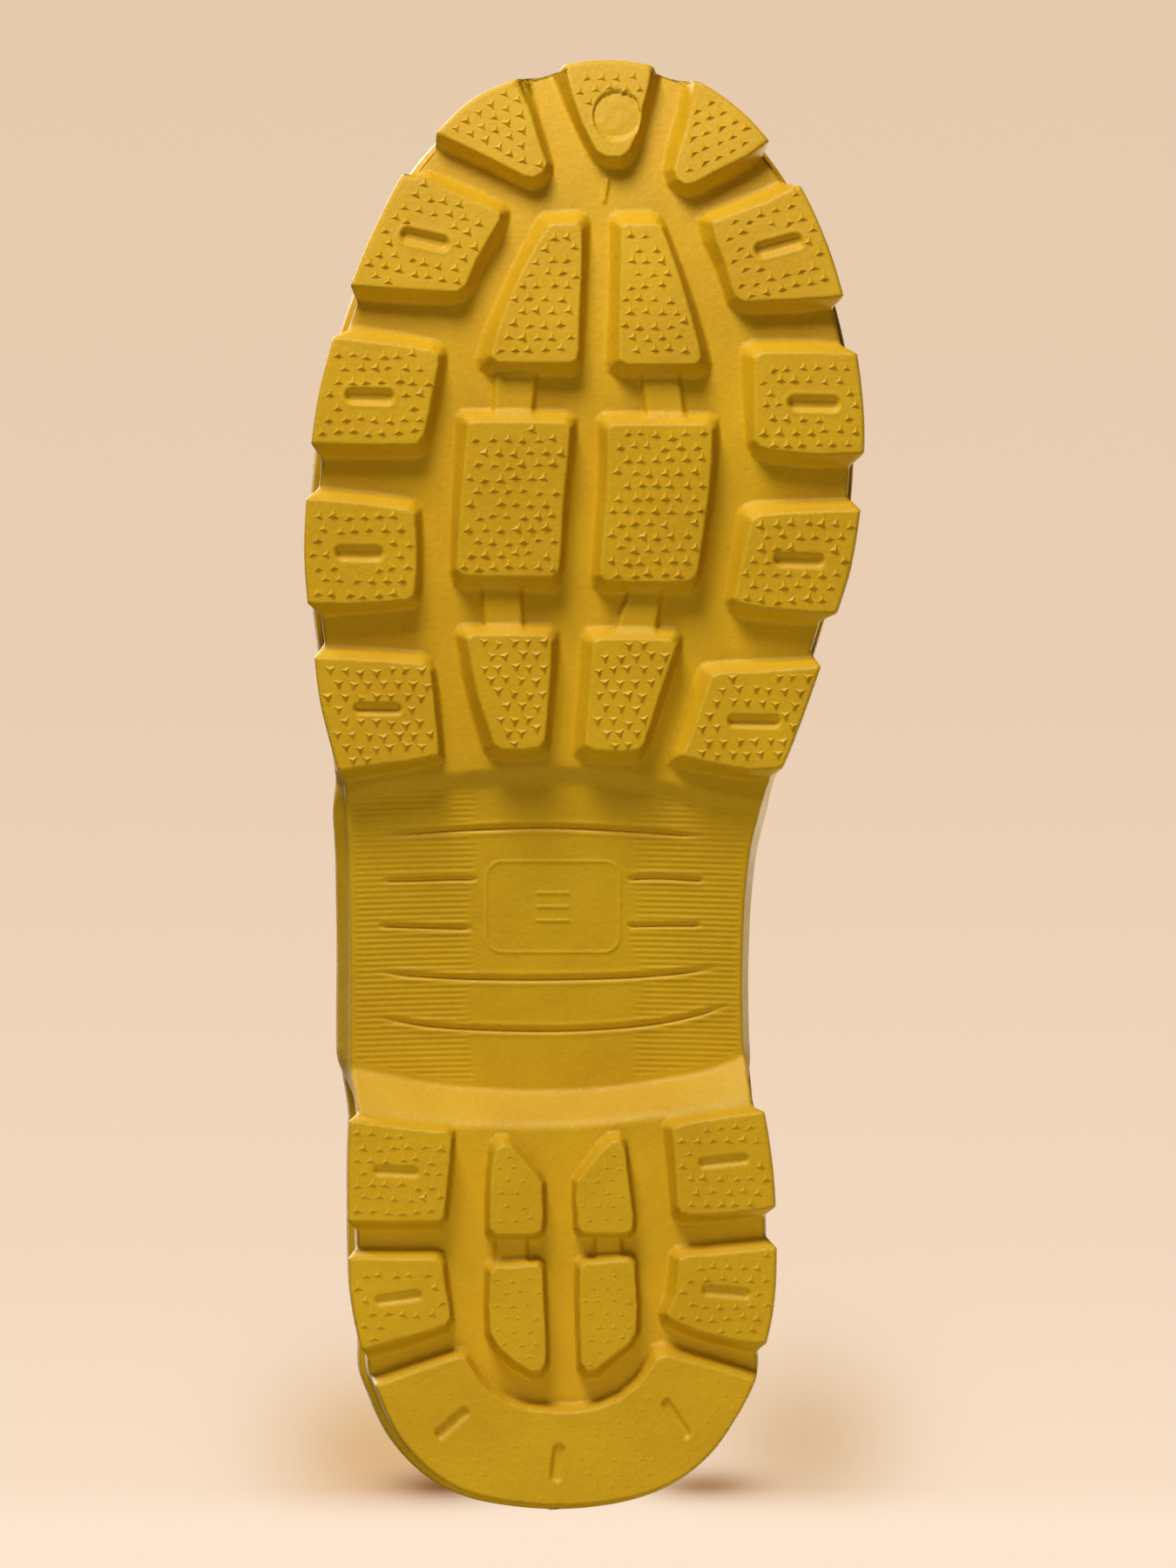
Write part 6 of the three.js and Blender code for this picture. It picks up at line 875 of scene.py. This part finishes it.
# ------------------------------------------------------------------ pull loops of webbing
MAT_WEB = cloth("loop_webbing", srgb(216, 166, 58), srgb(150, 108, 34), 1500, 0.85)
def strap(name, path, normal, width, thick, mat, cx=0.5):
    """A woven strip along a path in the YZ plane, with raised edge cords and cross ribs."""
    P = np.array(path, float); s = np.r_[0, np.cumsum(np.hypot(*np.diff(P, axis=0).T))]
    q = np.arange(0, s[-1], 0.42); C = np.c_[np.interp(q, s, P[:, 0]), np.interp(q, s, P[:, 1])]
    t = np.gradient(C, axis=0); t /= np.hypot(t[:, 0], t[:, 1])[:, None]; n = np.c_[-t[:, 1], t[:, 0]] * normal
    w = np.linspace(-width / 2, width / 2, 45)
    rib = 0.10 * np.cos(2 * math.pi * q / 1.3)[:, None] * np.cos(2 * math.pi * w / 1.6)[None, :]
    edge = 0.16 * np.exp(-((np.abs(w) - width / 2 + 1.1) / 0.7) ** 2)[None, :]
    rnd = np.sqrt(np.clip(1 - np.clip(np.abs(w) - (width / 2 - 0.7), 0, 0.7) ** 2 / 0.49, 0.02, 1))[None, :]
    h = (thick / 2 + edge) * rnd
    A = lambda sgn, hh: np.stack([np.repeat((cx + w)[None, :], len(C), 0), C[:, None, 0] + n[:, None, 0] * sgn * hh, C[:, None, 1] + n[:, None, 1] * sgn * hh], -1)
    return slab_piece(name, A(1, h + rib * 0.5), A(-1, h + rib * 0.5), mat)
def stitch_line(V, T, pts, ups, length=2.4, r=0.26):
    """Short thread lengths laid along pts (on the surface), ups are the surface normals."""
    for p, u, t in pts_dirs(pts, ups, 3.1):
        b = np.cross(t, u); n0 = len(V)
        secs = [(-length / 2, -0.30, 0.5), (-length / 3.2, 0.10, 0.95), (0, 0.20, 1.0), (length / 3.2, 0.10, 0.95), (length / 2, -0.30, 0.5)]
        for s, hgt, k in secs:
            for a in range(6):
                an = a * math.pi / 3; V.append(p + t * s + b * math.cos(an) * r * k + u * (hgt + math.sin(an) * r * k * 0.8))
        for i in range(4):
            for a in range(6):
                c, d = n0 + i * 6 + a, n0 + i * 6 + (a + 1) % 6; T.append((c, d, d + 6)); T.append((c, d + 6, c + 6))
        for a in range(1, 5):
            T.append((n0, n0 + a + 1, n0 + a)); m = n0 + 24; T.append((m, m + a, m + a + 1))
def pts_dirs(pts, ups, pitch):
    pts = np.asarray(pts, float); ups = np.asarray(ups, float); s = np.r_[0, np.cumsum(np.linalg.norm(np.diff(pts, axis=0), axis=1))]
    for q in np.arange(pitch / 2, s[-1] - pitch / 3, pitch):
        p = np.array([np.interp(q, s, pts[:, i]) for i in range(3)]); u = np.array([np.interp(q, s, ups[:, i]) for i in range(3)])
        e = 0.4; a = np.array([np.interp(q - e, s, pts[:, i]) for i in range(3)]); b = np.array([np.interp(q + e, s, pts[:, i]) for i in range(3)])
        t = b - a; t /= max(1e-9, np.linalg.norm(t)); u = u - t * (u @ t); u /= max(1e-9, np.linalg.norm(u)); yield p, u, t
def y_surface(z, side, d, x=0.5):
    z = np.atleast_1d(np.asarray(z, float)); o = np.stack([np.full(z.shape, x), np.full(z.shape, 62.0), z], -1); r = np.zeros_like(o); r[:, 1] = side
    return march(o, r, d, 90, 2.5, False)[:, 1]
FOOTR, BIGR = 1.4, 8.3; ZP = COLLAR_TOP + 0.4 + FOOTR; ZC = COLLAR_TOP + 30.6 - BIGR; LEAN = math.asin((BIGR - FOOTR) / (ZC - ZP))
STITCH_V = {"front": [], "rear": []}
for side, name, yc, d in ((-1, "front", float(shaft_front(COLLAR_TOP)) + 3.4, 2.45), (1, "rear", float(shaft_back(COLLAR_TOP)) - 3.4, 2.85)):
    za = np.linspace(136.3, 160.5, 24); ya = y_surface(za, side, d)
    outside = np.c_[ya, za]
    # up over the binding's outer edge to the fold, round the loop and back to the fold
    rr = 0.8
    over = open_spline([outside[-1], (ya[-1] + 0.1 * side, 163.2), (yc + side * 3.0, 166.0), (yc + side * 1.3, 167.4), (yc + side * 1.9, 170.6)], 10)[1:]
    ang = np.linspace(-LEAN if side > 0 else math.pi + LEAN, math.pi + LEAN if side > 0 else -LEAN, 40)
    r1 = BIGR - 0.8; ring = np.c_[yc + np.cos(ang) * r1, ZC + np.sin(ang) * r1]
    back = np.array([(yc - side * 1.9, 170.6), (yc - side * 0.75, 167.3), (yc - side * 0.62, 166.5)])
    path = np.vstack([outside[:-1], over, ring, open_spline(np.vstack([ring[-1], back]), 8)[1:]])
    S1 = strap("pull_loop_webbing_" + name, path, 1, 19.6, 1.35, MAT_WEB)
    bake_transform(S1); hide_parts(name + "_loop", name + "_loop_anchor")
    V, T = [], []
    for xo in (-8.2, 8.2):
        zz_ = np.linspace(138.5, 156.5, 20); yy_ = y_surface(zz_, side, d + 0.75)
        stitch_line(V, T, np.c_[np.full(20, 0.5 + xo), yy_, zz_], np.tile([0, side, 0.0], (20, 1)))
    for zr in (138.5, 156.5):
        xs_ = np.linspace(-7.7, 8.7, 12); yv = y_surface([zr], side, d + 0.75)[0]
        stitch_line(V, T, np.c_[xs_, np.full(12, yv), np.full(12, zr)], np.tile([0, side, 0.0], (12, 1)))
    for a_, b_ in ((-7.2, 8.2), (8.2, -7.2)):
        zz_ = np.linspace(139.5, 155.5, 20); yy_ = y_surface(zz_, side, d + 0.75)
        stitch_line(V, T, np.c_[np.linspace(a_, b_, 20), yy_, zz_], np.tile([0, side, 0.0], (20, 1)))
    ST = make("anchor_stitches_" + name, V, None, T, MAT_STITCH); outward(ST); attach(ST, "boot")
# stitching round the binding
V, T = [], []
c1 = collar_ring(159.9); n1 = ring_out(c1)
pp = np.c_[c1[:, :2] + n1 * 1.34, np.full(len(c1), 159.9)]; pp = np.vstack([pp, pp[:1]]); uu_ = np.c_[np.vstack([n1, n1[:1]]), np.zeros(len(c1) + 1)]
keep_ = np.abs(pp[:, 0] - 0.5) > 11.2
for seg in np.split(np.arange(len(pp)), np.where(np.diff(keep_.astype(int)) != 0)[0] + 1):
    if keep_[seg[0]] and len(seg) > 5: stitch_line(V, T, pp[seg], uu_[seg])
ST = make("binding_stitches", V, None, T, MAT_STITCH); outward(ST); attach(ST, "boot")

# ------------------------------------------------------------------ hidden CAD parts keep their shape and get a finish
m = Mat("board_fibre"); f = m.noise(700, 5, 0.7, 0.4); m.link(m.ramp(f, [(0.3, srgb(128, 96, 60)), (0.7, srgb(176, 142, 100))]), m.b.inputs["Base Color"])
m.b.inputs["Roughness"].default_value = 0.9; m.link(m.bump(f, 0.0002, 0.6), m.b.inputs["Normal"]); MAT_BOARD = m.m
m = Mat("stiffener_fleece"); f = m.noise(1100, 4, 0.7); m.link(m.ramp(f, [(0.3, srgb(196, 192, 178)), (0.7, srgb(232, 228, 214))]), m.b.inputs["Base Color"])
m.b.inputs["Roughness"].default_value = 0.95; m.link(m.bump(f, 0.0002, 0.6), m.b.inputs["Normal"]); MAT_STIFF = m.m
m = Mat("shank_steel"); f = m.noise(60, 3, 0.5, 0.0, "Object", (1, 24, 1)); m.link(m.ramp(f, [(0.3, srgb(138, 141, 146)), (0.7, srgb(188, 190, 194))]), m.b.inputs["Base Color"])
m.b.inputs["Metallic"].default_value = 1.0; m.link(m.math("ADD", m.math("MULTIPLY", f, 0.2), 0.25), m.b.inputs["Roughness"]); MAT_STEEL = m.m
m = Mat("filler_foam"); f = m.noise(1600, 3, 0.6); m.link(m.ramp(f, [(0.3, srgb(92, 86, 76)), (0.7, srgb(136, 130, 118))]), m.b.inputs["Base Color"])
m.b.inputs["Roughness"].default_value = 0.95; m.link(m.bump(f, 0.0003, 0.7), m.b.inputs["Normal"]); MAT_FILL = m.m
for node, mat in (("insole_board", MAT_BOARD), ("heel_stiffener", MAT_STIFF), ("toe_puff", MAT_STIFF), ("shank", MAT_STEEL), ("heel_filler", MAT_FILL)):
    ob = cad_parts[node]; ob.data.materials.clear(); ob.data.materials.append(mat)

# ------------------------------------------------------------------ stage, light and camera
AIM = np.array([0.4, 0.3, 0.0])
def mm(*v): return Vector([(v[i] + SHIFT[i] * (i < 2)) * 0.001 for i in range(3)])
scene = bpy.context.scene
scene.view_settings.view_transform = "Standard"; scene.view_settings.look = "None"; scene.view_settings.exposure = 0.0; scene.view_settings.gamma = 1.0
W = scene.world or bpy.data.worlds.new("World"); scene.world = W; W.use_nodes = True
bg = next(n for n in W.node_tree.nodes if n.type == "BACKGROUND")
bg.inputs["Color"].default_value = (1.0, 0.83, 0.66, 1); bg.inputs["Strength"].default_value = 0.06
def flat_card(name, cx, cy, z, sx, sy, face_down=False):
    me = bpy.data.meshes.new(name); v = [(-sx, -sy, 0), (sx, -sy, 0), (sx, sy, 0), (-sx, sy, 0)]
    me.from_pydata(v, [], [(0, 3, 2, 1)] if face_down else [(0, 1, 2, 3)]); me.update()
    ob = bpy.data.objects.new(name, me); scene.collection.objects.link(ob); ob.location = (cx, cy, z); return ob
def one_sided(m, shader):
    """Shown on its front, clear from behind."""
    geo = m.new("ShaderNodeNewGeometry"); tr = m.new("ShaderNodeBsdfTransparent"); mx = m.new("ShaderNodeMixShader")
    m.link(geo.outputs["Backfacing"], mx.inputs[0]); m.link(shader, mx.inputs[1]); m.link(tr.outputs[0], mx.inputs[2])
    out = next(n for n in m.n if n.type == "OUTPUT_MATERIAL"); m.link(mx.outputs[0], out.inputs["Surface"])
def hide_from(ob, **kw):
    for k, v in kw.items(): setattr(ob, k, v)
# pale floor, seen and lit from above only
FLOOR = flat_card("floor", 0, 0, -0.0006, 4.0, 4.0)
m = Mat("floor_paint"); m.link(m.mixc(m.math("MULTIPLY", m.noise(3, 3), 0.4), srgb(238, 214, 188), srgb(232, 206, 179)), m.b.inputs["Base Color"]); m.b.inputs["Roughness"].default_value = 0.8
one_sided(m, m.b.outputs[0]); FLOOR.data.materials.append(m.m)
hide_from(FLOOR, visible_diffuse=False, visible_glossy=False, visible_shadow=False, visible_transmission=False)
# backdrop behind the boot for the view of its sole: a card that glows with painted light and shade instead of being lit
CARD_Z, TILT, DIST = 3.2, 2.6, 6.0
CARD = flat_card("backdrop", 0, 0, CARD_Z, 6, 6, True)
m = Mat("backdrop_painted_light_and_shade"); x, y, z = m.xyz()
k = (DIST + CARD_Z) / DIST   # the card's size against the boot's, from the camera
gy = m.math("ADD", m.math("MULTIPLY", m.math("ADD", y, float(-AIM[1] * 0.001)), 1.0 / (0.295 * k)), 0.5, True)
# painted gradient, darker at the top and brighter towards the bottom
base = m.ramp(gy, [(0.0, srgb(229, 202, 173)), (0.45, srgb(233, 206, 179)), (0.80, srgb(242, 216, 190)), (1.0, srgb(251, 226, 201))])
# painted shadow: a soft dark spot painted into the card's colour at a set place
def painted_shadow(px, py, rx, ry):
    bx, by = (px - 675) * 0.16386e-3 * k + math.tan(math.radians(TILT)) * CARD_Z, (py - 900) * 0.16386e-3 * k
    a = m.math("MULTIPLY", m.math("SUBTRACT", x, bx), 1 / (rx * 0.16386e-3 * k)); b = m.math("MULTIPLY", m.math("SUBTRACT", y, by), 1 / (ry * 0.16386e-3 * k))
    r2 = m.math("ADD", m.math("MULTIPLY", a, a), m.math("MULTIPLY", b, b))
    return m.math("POWER", 2.718, m.math("MULTIPLY", r2, -1.0))
# painted shadows beside the heel: two wide soft ones, then two tight dark ones along its contact line
c = m.mixc(m.math("MULTIPLY", painted_shadow(440, 1665, 120, 95), 0.75, True), base, srgb(212, 165, 100))
c = m.mixc(m.math("MULTIPLY", painted_shadow(925, 1655, 110, 100), 0.75, True), c, srgb(213, 175, 130))
c = m.mixc(m.math("MULTIPLY", painted_shadow(515, 1706, 62, 20), 0.95, True), c, srgb(132, 78, 26))
c = m.mixc(m.math("MULTIPLY", painted_shadow(812, 1706, 66, 18), 0.85, True), c, srgb(158, 108, 54))
# painted light: below the heel's contact line the card is painted as brightly lit floor
painted_floor_light = m.ramp(m.math("ADD", m.math("MULTIPLY", m.math("SUBTRACT", y, (1728 - 900) * 0.16386e-3 * k), 1 / (40 * 0.16386e-3 * k)), 0.5, True), [(0.0, (0, 0, 0)), (1.0, (1, 1, 1))])
c = m.mixc(painted_floor_light, c, srgb(254, 230, 206))
# the card glows with its painted colour; it is no lamp
em = m.new("ShaderNodeEmission"); m.link(c, em.inputs["Color"]); em.inputs["Strength"].default_value = 1.0
one_sided(m, em.outputs[0]); CARD.data.materials.append(m.m)
hide_from(CARD, visible_diffuse=False, visible_glossy=False, visible_shadow=False, visible_transmission=False)

def area_light(name, loc, target, size, power, colour=(1, 1, 1), spread=180, shape="SQUARE"):
    L = bpy.data.lights.new(name, "AREA"); L.shape = shape; L.size = size; L.energy = power; L.color = colour; L.spread = math.radians(spread)
    ob = bpy.data.objects.new(name, L); scene.collection.objects.link(ob); ob.location = loc
    ob.rotation_euler = (Vector(target) - Vector(loc)).to_track_quat("-Z", "Y").to_euler(); ob.visible_camera = False; return ob
SOLE_PIECES = bpy.data.collections.new("sole_pieces"); scene.collection.children.link(SOLE_PIECES)
for ob in (OUTSOLE, STARS, FOX): SOLE_PIECES.objects.link(ob)
def only_sole(light): light.light_linking.receiver_collection = SOLE_PIECES
d = Vector((-0.23, -0.87, -0.42)).normalized()
KEY = area_light("sole_key", d * 1.15, (0, 0, 0), 0.42, 12.6, (1.0, 1.0, 0.80)); only_sole(KEY)
TOE = area_light("sole_toe", (-0.09, -0.42, -0.17), (0, -0.10, 0), 0.16, 0.55, (1.0, 1.0, 0.90)); only_sole(TOE)
HEEL = area_light("sole_heel", (-0.03, 0.28, -0.40), (0, 0.10, 0), 0.30, 1.15, (1.0, 1.0, 0.85)); only_sole(HEEL); HEEL.visible_glossy = False
FILL = area_light("sole_fill", (-0.1, 0.1, -1.9), (0, 0, 0.02), 1.8, 0.8, (1.0, 0.96, 0.90)); only_sole(FILL); FILL.visible_glossy = False
RIM = area_light("sole_rim", (-0.7, 0.1, 1.6), (0, 0.02, 0.02), 0.9, 4.0, (1.0, 0.93, 0.82)); only_sole(RIM)

TOP = area_light("top_key", (-1.2, -1.3, 2.1), (0, 0, 0.08), 1.1, 92.0, (1.0, 0.98, 0.95))
TOP2 = area_light("top_fill", (1.7, 0.9, 1.4), (0, 0, 0.08), 1.4, 48.0, (1.0, 0.98, 0.96))


cam = bpy.data.cameras.new("main"); co = bpy.data.objects.new("main_camera", cam); scene.collection.objects.link(co)
tilt = math.radians(TILT)
co.location = mm(*AIM) + Vector((-math.sin(tilt) * DIST, 0, -math.cos(tilt) * DIST))
fwd = (mm(*AIM) - co.location).normalized(); up = Vector((0, -1, 0)); right = fwd.cross(up).normalized(); up = right.cross(fwd)
from mathutils import Matrix
co.rotation_euler = Matrix((right, up, -fwd)).transposed().to_euler()
cam.sensor_fit = "VERTICAL"; cam.sensor_height = 36.0; cam.lens = 36.0 * DIST / 0.295; cam.dof.use_dof = False; cam.clip_start = 0.02; cam.clip_end = 100
scene.camera = co
